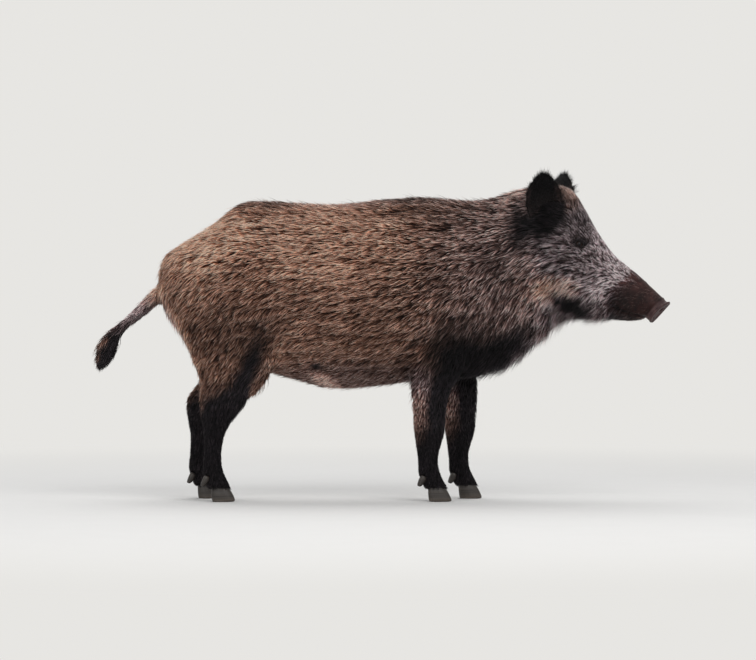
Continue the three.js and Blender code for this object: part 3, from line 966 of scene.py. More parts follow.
def set_coordinates(piece: Object, points: Array) -> None:
    """Puts a piece's vertices at those places."""
    piece.data.vertices.foreach_set("co", points.astype(np.float32).ravel())
    piece.data.update()


def vertex_normals(piece: Object) -> Array:
    """The normals of a piece's vertices, one row each."""
    return numbers(piece.data.vertex_normals, "vector", 3).astype(float)


def store(mesh: Mesh, name: str, values: Array) -> None:
    """Keeps three numbers for each vertex as an attribute."""
    layer = mesh.attributes.new(name, "FLOAT_VECTOR", "POINT")
    layer.data.foreach_set("vector", values.astype(np.float32).ravel())


def mesh_from(name: str, points: Array, triangles: Array) -> Object:
    """A new object from arrays.

    Args:
        name: the piece's name.
        points: its vertices.
        triangles: its triangles as vertex numbers.

    Returns:
        The object, linked to the scene.
    """
    mesh = bpy.data.meshes.new(name)
    mesh.vertices.add(len(points))
    mesh.vertices.foreach_set("co", points.astype(np.float32).ravel())
    mesh.loops.add(3 * len(triangles))
    mesh.loops.foreach_set("vertex_index", triangles.astype(np.int32).ravel())
    mesh.polygons.add(len(triangles))
    mesh.polygons.foreach_set("loop_start", np.arange(0, 3 * len(triangles), 3, dtype=np.int32))
    mesh.update(calc_edges=True)
    mesh.shade_smooth()
    piece = bpy.data.objects.new(name, mesh)
    bpy.context.scene.collection.objects.link(piece)
    return piece


def select(pieces: list[Object]) -> None:
    """Selects some objects alone and makes the first one active.

    Args:
        pieces: the objects.
    """
    bpy.ops.object.select_all(action="DESELECT")
    for piece in pieces:
        piece.hide_set(False)
        piece.select_set(True)
    bpy.context.view_layer.objects.active = pieces[0]


def modify(piece: Object, kind: str, **settings: object) -> None:
    """Adds a modifier and applies it.

    Args:
        piece: the object.
        kind: the modifier's type.
        settings: its own settings.
    """
    select([piece])
    modifier = piece.modifiers.new(kind.lower(), kind)
    for key, value in settings.items():
        setattr(modifier, key, value)
    bpy.ops.object.modifier_apply(modifier=modifier.name)


@contextmanager
def edited(piece: Object) -> Iterator[None]:
    """Keeps a piece in edit mode with all of it selected.

    Args:
        piece: the object.

    Returns:
        Nothing to use.
    """
    select([piece])
    bpy.ops.object.mode_set(mode="EDIT")
    bpy.ops.mesh.select_all(action="SELECT")
    yield
    bpy.ops.object.mode_set(mode="OBJECT")


def group(piece: Object, name: str, chosen: Array) -> str:
    """Gathers vertices in a group.

    Args:
        piece: the object.
        name: the group's name.
        chosen: whether each vertex is in it.

    Returns:
        The name.
    """
    piece.vertex_groups.new(name=name).add(np.nonzero(chosen)[0].tolist(), 1.0, "REPLACE")
    return name


def primitive(name: str, add: Callable, **settings: object) -> Object:
    """Adds a primitive whose place is in its mesh.

    Args:
        name: the piece's name.
        add: the operator that adds it.
        settings: its sizes and place.

    Returns:
        The new object.
    """
    bpy.ops.object.select_all(action="DESELECT")
    add(**settings)
    piece = bpy.context.view_layer.objects.active
    piece.name = piece.data.name = name
    bpy.ops.object.transform_apply(location=True, rotation=True, scale=True)
    return piece


def copy_nodes(names: list[str], name: str) -> Object:
    """Joins merged copies of CAD nodes into one new object.

    Args:
        names: the nodes.
        name: the new piece's name.

    Returns:
        The new object, its doubles merged.
    """
    copies = []
    for node in names:
        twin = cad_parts[node].copy()
        twin.data = twin.data.copy()
        twin.parent = None
        twin.hide_render = False
        bpy.context.scene.collection.objects.link(twin)
        copies.append(twin)
    select(copies)
    if len(copies) > 1:
        bpy.ops.object.join()
    piece = bpy.context.view_layer.objects.active
    piece.name = piece.data.name = name
    with edited(piece):
        bpy.ops.mesh.remove_doubles(threshold=0.01 * MM)
    return piece


def dress(piece: Object, material: Material, replaced: Sequence[str] = ()) -> None:
    """Finishes a piece.

    Args:
        piece: the object.
        material: what it is made of.
        replaced: the solids that it stands for.
    """
    piece.data.materials.clear()
    piece.data.materials.append(material)
    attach(piece, "root")
    if replaced:
        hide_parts(*replaced)
    LOG.info("%s: %d triangles", piece.name, len(piece.data.polygons))


# ---- eyes


@dataclass
class Eye:
    """One eye with its lid margins and lashes.

    Args:
        side: which side it is on.
        sink: how much deeper the ball sits than its solid.
        forward, up: how far it looks forwards and up.
        half_width, upper, lower: the half sizes of the opening between the lids.
        slant: how far the opening's front corner is turned down.
        lid: the lids' thickness.
        reach, depth: how far round the ball's middle, and behind it, the skin is shaped.
        blend: how softly the lids run out into the skin.
        behind: how far under the ball's surface the skin goes inside the opening.
    """

    side: Side
    sink: float = 0.0045
    forward: float = math.radians(22)
    up: float = math.radians(4)
    half_width: float = 0.0098
    upper: float = 0.0056
    lower: float = 0.0044
    slant: float = math.radians(24)
    lid: float = 0.0013
    reach: float = 0.030
    depth: float = 0.012
    blend: float = 0.0016
    behind: float = 0.0035

    def __post_init__(self) -> None:
        """Finds the ball's middle and its axes."""
        self.word = self.side.name.lower()
        sign = float(self.side.value)
        low, high = (np.array(corner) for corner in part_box(f"eye_{self.word}"))
        self.radius = float((high - low)[2] / 2)
        cad = (low + high) / 2
        along = POSTURE.straight(cad[None])[:, 0]
        self.centre = cad - POSTURE.turned(np.array([[0.0, sign, 0.0]]), along)[0] * self.sink
        gaze = np.array([[math.sin(self.forward), sign * math.cos(self.forward), math.sin(self.up)]])
        self.gaze = unit(POSTURE.turned(gaze, along))[0]
        ahead = POSTURE.turned(np.array([[math.cos(self.slant), 0.0, -math.sin(self.slant)]]), along)[0]
        self.ahead = unit(ahead - self.gaze * (ahead @ self.gaze))
        above = np.cross(self.gaze, self.ahead)
        self.above = above if above[2] > 0 else -above

    def local(self, points: Array) -> Array:
        """Points as ahead, above and outwards from the ball's middle."""
        return (points - self.centre) @ np.stack([self.ahead, self.above, self.gaze], axis=1)

    def world(self, local: Array) -> Array:
        """The reverse of local."""
        return self.centre + local @ np.stack([self.ahead, self.above, self.gaze])

    def opening(self, across: Array, up: Array) -> Array:
        """Below 1 inside the opening between the lids, 1 at its margin and above 1 outside."""
        tall = np.where(up > 0, self.upper, self.lower)
        return np.sqrt((across / self.half_width) ** 2 + (np.abs(up) / tall) ** 1.6 + 1e-12)

    def wrap(self, points: Array) -> Array:
        """Shapes the skin around the ball: socket, brow, lids and the opening.

        Args:
            points: the skin's vertices.

        Returns:
            The vertices moved.
        """
        local = self.local(points)
        near = (np.hypot(local[:, 0], local[:, 1]) < self.reach) & (local[:, 2] > -self.depth)
        across, up, out = local[near].T
        edge = self.opening(across, up)
        out = self.moulded(across, up, out, edge)
        scale = self.gathered(edge) / edge
        across, up = across * scale, up * scale
        under = np.sqrt(np.maximum((self.radius - self.behind) ** 2 - np.hypot(across, up) ** 2, 0.0))
        out = np.where(edge < 1.0, np.minimum(out, under), out)
        result = points.copy()
        result[near] = self.world(np.stack([across, up, out], axis=1))
        return result

    def moulded(self, across: Array, up: Array, out: Array, edge: Array) -> Array:
        """Raises brow, cheek and lids and presses in the socket and the lids' creases.

        Args:
            across, up, out: places round the eye.
            edge: where they lie next to the opening.

        Returns:
            How far out each place is now.
        """
        far = np.hypot(across, up)
        socket = hill(-0.0030, (far, 0.0155, 0.0050))
        brow = hill(0.0034, (across, -0.002, 0.014), (up, 0.0165, 0.0050))
        cheek = hill(0.0016, (across, 0.0, 0.012), (up, -0.0170, 0.0050))
        out = out + socket + brow + cheek
        shell = self.radius + self.lid
        ball = np.where(far < shell, np.sqrt(np.maximum(shell**2 - far**2, 0.0)), -1.0)
        over = np.clip((ball - out) / self.blend * 0.5 + 0.5, 0, 1)
        out = out * (1 - over) + ball * over + self.blend * over * (1 - over)
        crease = hill(-0.0009, (edge, 1.75, 0.16)) * (up > 0)
        crease += hill(-0.0006, (edge, 1.8, 0.16)) * (up <= 0)
        return out + crease * (far > 0.004)

    def gathered(self, edge: Array) -> Array:
        """Draws the skin near the opening's margin onto it, so that the margin is clean.

        Args:
            edge: where places lie next to the opening.

        Returns:
            Where they lie afterwards.
        """
        inside = np.minimum(edge, 0.82 + 0.16 * smoothstep(0.7, 0.95, edge))
        inside = np.where(edge > 0.84, 0.985, inside)
        return np.where(edge < 1.0, inside, np.where(edge < 1.16, 1.0, edge))

    def build(self) -> None:
        """Builds the ball, the lid margins and the lashes."""
        self.ball()
        self.margin()
        self.lashes()

    def ball(self) -> None:
        """Builds the eyeball, its cornea standing a little out of the white."""
        piece = primitive(f"eyeball_{self.word}", bpy.ops.mesh.primitive_uv_sphere_add,
                          segments=64, ring_count=40, radius=self.radius, location=self.centre)
        points = coordinates(piece)
        local = self.local(points)
        far = np.hypot(local[:, 0], local[:, 1])
        lift = 0.0007 * smoothstep(0.0088, 0.0, far) * (local[:, 2] > 0)
        set_coordinates(piece, points + unit(points - self.centre) * lift[:, None])
        piece.data.shade_smooth()
        store(piece.data, "gaze", local / self.radius)
        modify(piece, "TRIANGULATE")
        dress(piece, EyeFinish(f"eye_wet_{self.word}").material(), [f"eye_{self.word}"])

    def rim(self, angles: Array, grow: float, out: float) -> Array:
        """Finds places on the lids' margin.

        Args:
            angles: where round the opening they are.
            grow: their distance from its middle, in shares of the margin's.
            out: how far they stand off the ball.

        Returns:
            The places, ahead, above and outwards from the ball's middle.
        """
        across, up = np.cos(angles), np.sin(angles)
        size = 1 / self.opening(across, up)
        across, up = across * size * grow, up * size * grow
        far = np.hypot(across, up)
        depth = np.sqrt(np.maximum((self.radius + out) ** 2 - far**2, 0))
        return np.stack([across, up, depth], axis=1)

    def margin(self) -> None:
        """Builds the thick moist rim of both lids."""
        around, tube = 72, 10
        piece = primitive(f"eyelid_margin_{self.word}", bpy.ops.mesh.primitive_torus_add,
                          major_segments=around, minor_segments=tube, major_radius=self.half_width,
                          minor_radius=0.0009, location=self.centre)
        angles = np.repeat(np.arange(around) * 2 * math.pi / around, tube)
        turns = np.tile(np.arange(tube) * 2 * math.pi / tube, around)
        middle, after, before = (
            self.rim(angles + gap, 1.03, self.lid - 0.0006) for gap in (0.0, 0.02, -0.02))
        outwards = unit(middle)
        across = unit(np.cross(after - before, outwards))
        thick = 0.0010 * (1 - 0.35 * np.abs(np.cos(angles)) ** 6)
        spoke = across * np.cos(turns)[:, None] + outwards * np.sin(turns)[:, None]
        set_coordinates(piece, self.world(middle + thick[:, None] * spoke))
        with edited(piece):
            bpy.ops.mesh.normals_make_consistent(inside=False)
            bpy.ops.mesh.quads_convert_to_tris()
        piece.data.shade_smooth()
        dress(piece, LidFinish(f"lid_margin_{self.word}").material())

    def lashes(self) -> None:
        """Builds a row of stiff upper lashes and a few lower ones."""
        rng = np.random.default_rng(70 + self.side.value)
        angles = np.concatenate([np.linspace(0.35, 2.75, 46), np.linspace(3.6, 5.7, 14)])
        count = len(angles)
        angles += rng.normal(scale=0.03, size=count)
        upper = angles < math.pi
        root = self.rim(angles, 1.06, self.lid - 0.0003)
        rise = np.where(upper, 0.55, -0.7)
        lean = unit(np.stack([np.cos(angles) * 0.8 + 0.15, rise, np.full(count, 0.8)], axis=1))
        droop = np.stack([np.zeros(count), np.where(upper, -0.35, 0.1), np.full(count, 0.15)], axis=1)
        length = np.where(upper, 0.0095, 0.0045) * rng.uniform(0.75, 1.2, count)
        middle = root + lean * length[:, None] * 0.5
        tip = middle + unit(lean + droop) * length[:, None] * 0.5
        centres = np.stack([self.world(part) for part in (root, middle, tip)], axis=1)
        strands = Strands(centres, np.repeat(self.gaze[None], count, axis=0), np.full(count, 0.00042))
        marks = np.tile([0.97, 0.5, 0.0], (count, 1))
        patch = np.stack([np.linspace(0.05, 0.95, count), np.full(count, 0.5)], axis=1)
        piece = strands.mesh(f"lashes_{self.word}", patch, marks, np.zeros(count), 0.012)
        dress(piece, COAT_MATERIAL)


# ---- tufts


@dataclass
class Strands:
    """Many closed tapered tufts, three-sided, each along its own line of centres.

    Args:
        centres: for each tuft its places from root to tip.
        normals: the skin's direction outwards at each root.
        widths: each tuft's width.
        profile: the share of the width at each place but the tip.
        flat: how thick a tuft is next to its width.
    """

    centres: Array
    normals: Array
    widths: Array
    profile: tuple[float, ...] = (0.8, 1.0)
    flat: float = 0.55

    def mesh(self, name: str, roots: Array, marks: Array, tone: Array, patch: float = 0.003) -> Object:
        """Builds the tufts as one mesh with its bake map.

        Args:
            name: the piece's name.
            roots: each root's place on the unwrapped skin.
            marks: each tuft's markings.
            tone: how pale each tuft is next to its neighbours, about -1 to 1.
            patch: how far across a tuft is on the bake map.

        Returns:
            The new object.
        """
        count, places = self.centres.shape[:2]
        points = self.points()
        first = np.arange(count)[:, None, None] * points.shape[1]
        triangles = (np.array(self.faces())[None] + first).reshape(-1, 3)
        piece = mesh_from(name, points.reshape(-1, 3), triangles)
        share = np.append(np.repeat(np.linspace(0, 1, places)[:-1], 3), 1.0)
        spread = np.append(np.tile([0.0, 0.5, 1.0], places - 1), 0.5)
        strand = np.zeros((count, len(share), 3))
        strand[:, :, 0] = share
        strand[:, :, 1] = tone[:, None]
        store(piece.data, "strand", strand.reshape(-1, 3))
        store(piece.data, "marks", np.repeat(marks, len(share), axis=0))
        layout = (np.stack([spread, share], axis=1) - 0.5) * patch
        on_map = (roots[:, None] + layout[None]).reshape(-1, 2)
        layer = piece.data.uv_layers.new(name="OFBake")
        layer.data.foreach_set("uv", on_map[triangles.ravel()].astype(np.float32).ravel())
        return piece

    def points(self) -> Array:
        """Finds the tufts' vertices.

        Returns:
            For each tuft three to a ring and the tip.
        """
        count, places = self.centres.shape[:2]
        points = np.empty((count, 3 * places - 2, 3))
        for ring in range(places - 1):
            along = unit(self.centres[:, ring + 1] - self.centres[:, max(ring - 1, 0)])
            across = unit(np.cross(self.normals, along))
            up = np.cross(along, across)
            half = 0.5 * self.widths * self.profile[ring]
            for corner, angle in enumerate(np.radians((90.0, 210.0, 330.0))):
                offset = across * math.cos(angle) + up * (math.sin(angle) * self.flat)
                points[:, 3 * ring + corner] = self.centres[:, ring] + offset * half[:, None]
        points[:, -1] = self.centres[:, -1]
        return points

    def faces(self) -> list[tuple[int, int, int]]:
        """Numbers one tuft's vertices.

        Returns:
            The triangles of its root, its sides and its tip.
        """
        rings = self.centres.shape[1] - 1
        faces = [(0, 2, 1)]
        for low in range(0, 3 * rings - 3, 3):
            for corner in range(3):
                after = low + (corner + 1) % 3
                faces.append((low + corner, after, after + 3))
                faces.append((low + corner, after + 3, low + corner + 3))
        last = 3 * rings - 3
        return faces + [(last + corner, last + (corner + 1) % 3, 3 * rings) for corner in range(3)]


@dataclass(frozen=True)
class Region:
    """One part of the skin that carries one piece of the coat.

    Args:
        name: the piece's name.
        slot: a slot's name, not used.
        nodes: words in the names of the solids that it covers.
        seed: where its random numbers start.
        side: which side of them it covers.
        long: True for two-step tufts, False for short straight ones.
        thick: tufts' width.
        thin_out: how much wider apart than usual the tufts stand.
        clump: how many tufts go to a lock.
        stretch: how much longer than wide a lock is.
        wild: the share of tufts that stand out of the coat.
        contrast: how much its tufts differ in tone next to the flank's.
        dark: how much darker its dark tufts are, in powers of 2.
    """

    name: str
    slot: str
    nodes: tuple[str, ...]
    seed: int
    side: Side = Side.BOTH
    long: bool = True
    thick: float = 0.0021
    thin_out: float = 1.0
    clump: int = 3
    stretch: float = 3.0
    wild: float = 0.05
    contrast: float = 1.0
    dark: float = 1.6

    @property
    def triangles(self) -> int:
        """How many triangles one tuft has."""
        return 10 if self.long else 4

    def spacing(self, length: Array) -> Array:
        """How far apart tufts of that length stand."""
        least, share = (0.0012, 0.076) if self.long else (0.0009, 0.064)
        return (least + share * length) * self.thin_out

    def tones(self, own: Array, shared: Array, band: Array) -> Array:
        """Makes each tuft paler or darker than its neighbours.

        Args:
            own, shared: each tuft's random numbers, and its lock's.
            band: the coat's faint bands.

        Returns:
            The tufts' change of brightness, in powers of 2.
        """
        lock = 0.5 * shared[:, 1] + 0.85 * own[:, 0] if self.long else shared[:, 1]
        alone = 0.42 if self.long else 0.26
        mixed = (0.72 - alone) * shared[:, 3] + alone * own[:, 3] + 0.14 * band - self.dark * (lock > 0.85)
        return np.clip(self.contrast * mixed, -3.0, 1.4)


# ---- skin


@dataclass(frozen=True)
class Stroke:
    """A groove or ridge along a path seen from the side, on both sides of the animal.

    Args:
        path: its corners, in millimetres.
        width: its half width, in millimetres.
        rise: how far it stands out, or lies in where it is below 0, in millimetres.
        inner: the least distance from the body's middle at which it acts, in millimetres.
    """

    path: tuple[tuple[float, float], ...]
    width: float
    rise: float
    inner: float = 0.0

    def at(self, square: Array) -> Array:
        """Finds how far it moves each place.

        Args:
            square: places as they are seen from the right.

        Returns:
            The way outwards.
        """
        corners = tuple((x * MM, z * MM) for x, z in self.path)
        rise = hill(self.rise * MM, (path_distance(square[:, [0, 2]], corners), 0.0, self.width * MM))
        if not self.inner:
            return rise
        return rise * smoothstep(self.inner * MM - 0.004, self.inner * MM + 0.004, np.abs(square[:, 1]))


STROKES = (
    # mouth, lips and chin
    Stroke(((664, 467), (640, 474), (612, 482), (582, 496), (552, 511)), 2.4, -4.0, 6),
    Stroke(((660, 478), (640, 484), (614, 493), (590, 506)), 6.0, 1.8, 6),
    Stroke(((640, 466), (600, 472), (572, 484)), 6.0, 1.2, 6),
    Stroke(((561, 506), (548, 517)), 5.0, -2.0, 20),
    # folds of the bare muzzle
    Stroke(((672, 545), (660, 515), (655, 488)), 3.2, -1.4),
    Stroke(((655, 560), (640, 525), (636, 492)), 3.0, -1.1),
    Stroke(((638, 572), (622, 538), (618, 505)), 3.0, -0.9),
    Stroke(((618, 545), (600, 520), (600, 500)), 3.4, -0.9),
    Stroke(((662, 556), (650, 520), (646, 490)), 3.5, 0.9),
    # tear line and cheek bone
    Stroke(((516, 642), (534, 624), (552, 604)), 3.2, -1.6, 30),
    Stroke(((528, 610), (490, 600), (452, 606)), 12, 2.2, 40),
    Stroke(((545, 560), (505, 545), (470, 560)), 9, -1.8, 30),
    # elbow fold and the edge of the arm
    Stroke(((34, 372), (62, 394), (92, 417)), 9, -8.0, 60),
    Stroke(((76, 372), (94, 398), (116, 418)), 11, 4.0, 60),
    # flank fold, stifle and sheath
    Stroke(((-300, 330), (-272, 395), (-252, 460)), 17, -6.0, 60),
    Stroke(((-160, 322), (-150, 310)), 22, 4.0),
    Stroke(((-163, 346), (-158, 345)), 6, -5.0, 20),
    # shoulder blade and hip
    Stroke(((245, 470), (205, 560), (150, 660)), 26, -2.5, 60),
    Stroke(((-345, 700), (-372, 640), (-395, 590)), 30, 3.0, 60),
)

#: how deep the bare muzzle lies under the solids' surface
MUZZLE_DEPTH = 0.0002


@dataclass
class Skin:
    """The one skin of head, trunk, legs and tail, made from the solids of flesh.

    Args:
        voxel: how fine the joined form is.
        kept: the share of the trunk's faces that is kept.
        swell: how far the solids grow before they are joined.
        fine_snout: where along the straight animal the snout's finest forms start.
        fine_face: where the face, which keeps all its faces, starts.
        fine_eye: how far round each eye the faces are kept.
        ear_depth: how deep the ears' skin lies.
        ear_short: how much shorter the ears' skin is than the ears.
        tuft_heights, tuft_depths: heights, and how deep the skin lies there in the tail's tuft.
    """

    voxel: float = 0.003
    kept: float = 0.20
    swell: float = 0.0008
    fine_snout: float = 0.60
    fine_face: float = 0.56
    fine_eye: float = 0.034
    ear_depth: float = 0.0032
    ear_short: float = 0.008
    tuft_heights: tuple[float, ...] = (0.340, 0.362, 0.388, 0.415, 0.445)
    tuft_depths: tuple[float, ...] = (0.004, 0.006, 0.0065, 0.006, 0.004)

    def build(self, eyes: list[Eye]) -> None:
        """Builds and dresses the skin.

        Args:
            eyes: the eyes that its lids wrap.
        """
        self.eyes = eyes
        self.piece = copy_nodes(FLESH, "skin")
        self.join_up()
        self.refine()
        self.read()
        self.sink()
        self.even_out()
        self.fold()
        self.attributes()
        dress(self.piece, SkinFinish().material(), FLESH)

    def join_up(self) -> None:
        """Closes the gaps between the solids and makes one even, smooth surface."""
        piece = self.piece
        modify(piece, "DISPLACE", strength=self.swell, mid_level=0.0)
        modify(piece, "REMESH", mode="VOXEL", voxel_size=self.voxel, adaptivity=0.0)
        points = coordinates(piece)
        along, side, up = POSTURE.straight(points).T
        coarse = group(piece, "coarse", along <= self.fine_snout)
        modify(piece, "SMOOTH", factor=0.5, iterations=4)
        modify(piece, "SMOOTH", factor=0.5, iterations=22, vertex_group=coarse)
        ear = (up > 0.70) & (np.abs(side) > 0.05) & (along > 0.36)
        haired = (along < self.fine_face) & ~ear
        for eye in self.eyes:
            haired &= np.linalg.norm(points - eye.centre, axis=1) > self.fine_eye
        ratio = float(1 - (1 - self.kept) * haired.mean())
        body = group(piece, "body", haired)
        modify(piece, "DECIMATE", ratio=ratio, vertex_group=body, use_collapse_triangulate=True)
        with edited(piece):
            bpy.ops.mesh.quads_convert_to_tris()

    def refine(self) -> None:
        """Makes the mesh finer at the muzzle, and twice at the eyes."""
        along, _, up = POSTURE.straight(coordinates(self.piece)).T
        self.divide((along > 0.655) | ((along > 0.545) & (up < 0.520)))
        for _ in range(2):
            self.divide(self.round_eyes(coordinates(self.piece)))

    def round_eyes(self, points: Array) -> Array:
        """Finds the places round the eyes.

        Args:
            points: the skin's vertices.

        Returns:
            Whether each is one.
        """
        chosen = np.zeros(len(points), dtype=bool)
        for eye in self.eyes:
            across, up, out = eye.local(points).T
            chosen |= (np.hypot(across, up) < 0.021) & (out > -0.004)
        return chosen

    def divide(self, chosen: Array) -> None:
        """Divides the faces whose corners are all chosen.

        Args:
            chosen: whether each vertex is.
        """
        with edited(self.piece):
            bpy.ops.mesh.select_all(action="DESELECT")
            bpy.ops.mesh.select_mode(type="VERT")
        self.piece.data.vertices.foreach_set("select", chosen)
        bpy.ops.object.mode_set(mode="EDIT")
        bpy.ops.mesh.select_mode(type="FACE")
        bpy.ops.mesh.subdivide(number_cuts=1, smoothness=0.0)
        bpy.ops.mesh.select_all(action="SELECT")
        bpy.ops.mesh.quads_convert_to_tris()
        bpy.ops.object.mode_set(mode="OBJECT")

    def read(self) -> None:
        """Reads the mesh and finds which solid each vertex belongs to."""
        self.points = coordinates(self.piece)
        self.straight = POSTURE.straight(self.points)
        points, faces, owners = [], [], []
        for number, name in enumerate(FLESH):
            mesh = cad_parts[name].data
            start = len(points)
            points += [vertex.co.copy() for vertex in mesh.vertices]
            faces += [[start + index for index in polygon.vertices] for polygon in mesh.polygons]
            owners += [number] * len(mesh.polygons)
        solids = BVHTree.FromPolygons(points, faces)
        nearest = [solids.find_nearest(Vector(point))[2] for point in self.points]
        self.owner = np.array(owners)[nearest]
        self.leg = self.owned_by("fore_", "hind_")
        self.ear = self.owned_by("ear") & (self.straight[:, 2] > EAR_HAIR)

    def owned_by(self, *starts: str) -> Array:
        """Which vertices belong to solids whose names start like that."""
        return np.array([name.startswith(starts) for name in FLESH])[self.owner]

    def softened(self, values: Array, rounds: int) -> Array:
        """Evens values out over the mesh.

        Args:
            values: one for each vertex.
            rounds: how often each is mixed with its neighbours.

        Returns:
            The even values.
        """
        first, second = numbers(self.piece.data.edges, "vertices", 2, np.int32).T
        size = len(self.points)
        count = np.bincount(first, minlength=size) + np.bincount(second, minlength=size)
        for _ in range(rounds):
            total = np.bincount(first, values[second], size) + np.bincount(second, values[first], size)
            values = 0.5 * values + 0.5 * total / count
        return values

    def sink(self) -> None:
        """Lays the skin under the solids' surface by the coat's depth, and shortens the ears'."""
        locks = LIE.at(self.straight, self.leg, self.ear)
        bare = MARKINGS.bare(self.straight)
        covered = locks.height * np.where(self.straight[:, 0] < 0.45, 0.92, 1.0)
        depth = covered * (1 - bare) + MUZZLE_DEPTH * bare
        depth = np.where(self.ear, self.ear_depth, depth)
        core = np.interp(self.points[:, 2], self.tuft_heights, self.tuft_depths)
        depth = np.where(self.owned_by("tail_tuft"), core, depth)
        depth *= smoothstep(0.034, 0.052, self.points[:, 2])
        self.points = self.points - vertex_normals(self.piece) * self.softened(depth, 12)[:, None]
        share, _, fan = EARS.at(self.straight)
        shorter = self.ear_short * smoothstep(0.55, 1.0, share) * self.ear
        self.points -= POSTURE.turned(fan, self.straight[:, 0]) * shorter[:, None]
        set_coordinates(self.piece, self.points)

    def even_out(self) -> None:
        """Smooths the trunk, the neck and the legs again, but not the face, the ears and the feet."""
        chosen = (self.straight[:, 0] < 0.50) & ~self.ear & (self.points[:, 2] > 0.045)
        trunk = group(self.piece, "trunk", chosen)
        modify(self.piece, "SMOOTH", factor=0.5, iterations=10, vertex_group=trunk)
        self.points = coordinates(self.piece)
        self.straight = POSTURE.straight(self.points)

    def fold(self) -> None:
        """Presses in and raises the folds, and shapes the snout disc, the lids and the sockets."""
        square = POSTURE.square(self.straight, self.leg)
        rise = sum(stroke.at(square) for stroke in STROKES)
        disc = SnoutDisc()
        points = disc.flared(self.points + vertex_normals(self.piece) * rise[:, None])
        self.disc, self.nostril = disc.shares(points)
        self.points = disc.pressed(points)
        for eye in self.eyes:
            self.points = eye.wrap(self.points)
        set_coordinates(self.piece, self.points)

    def attributes(self) -> None:
        """Keeps the markings, the bare places and the openings, which get painted shade, for the material and
        the coat.
        """
        marks = MARKINGS.at(self.straight, self.leg, self.ear)
        self.bare = MARKINGS.bare(self.straight)
        self.locks = LIE.at(self.straight, self.leg, self.ear)
        # painted shade: near black in the mouth's slit, the eyes' openings and the nostrils
        mouth = STROKES[0]
        square = POSTURE.square(self.straight, self.leg)
        hollow_shade = np.clip(mouth.at(square) / (mouth.rise * MM), 0, 1) ** 2 * 0.8
        for eye in self.eyes:
            across, up, out = eye.local(self.points).T
            hollow_shade = np.maximum(hollow_shade, smoothstep(1.5, 1.05, eye.opening(across, up)) * 0.75 * (out > 0))
        hollow_shade = np.maximum(hollow_shade, self.nostril)
        store(self.piece.data, "marks", marks[:, :3])
        store(self.piece.data, "bare", np.stack([np.maximum(self.bare, hollow_shade), self.disc, hollow_shade], axis=1))
        self.piece.data.shade_smooth()


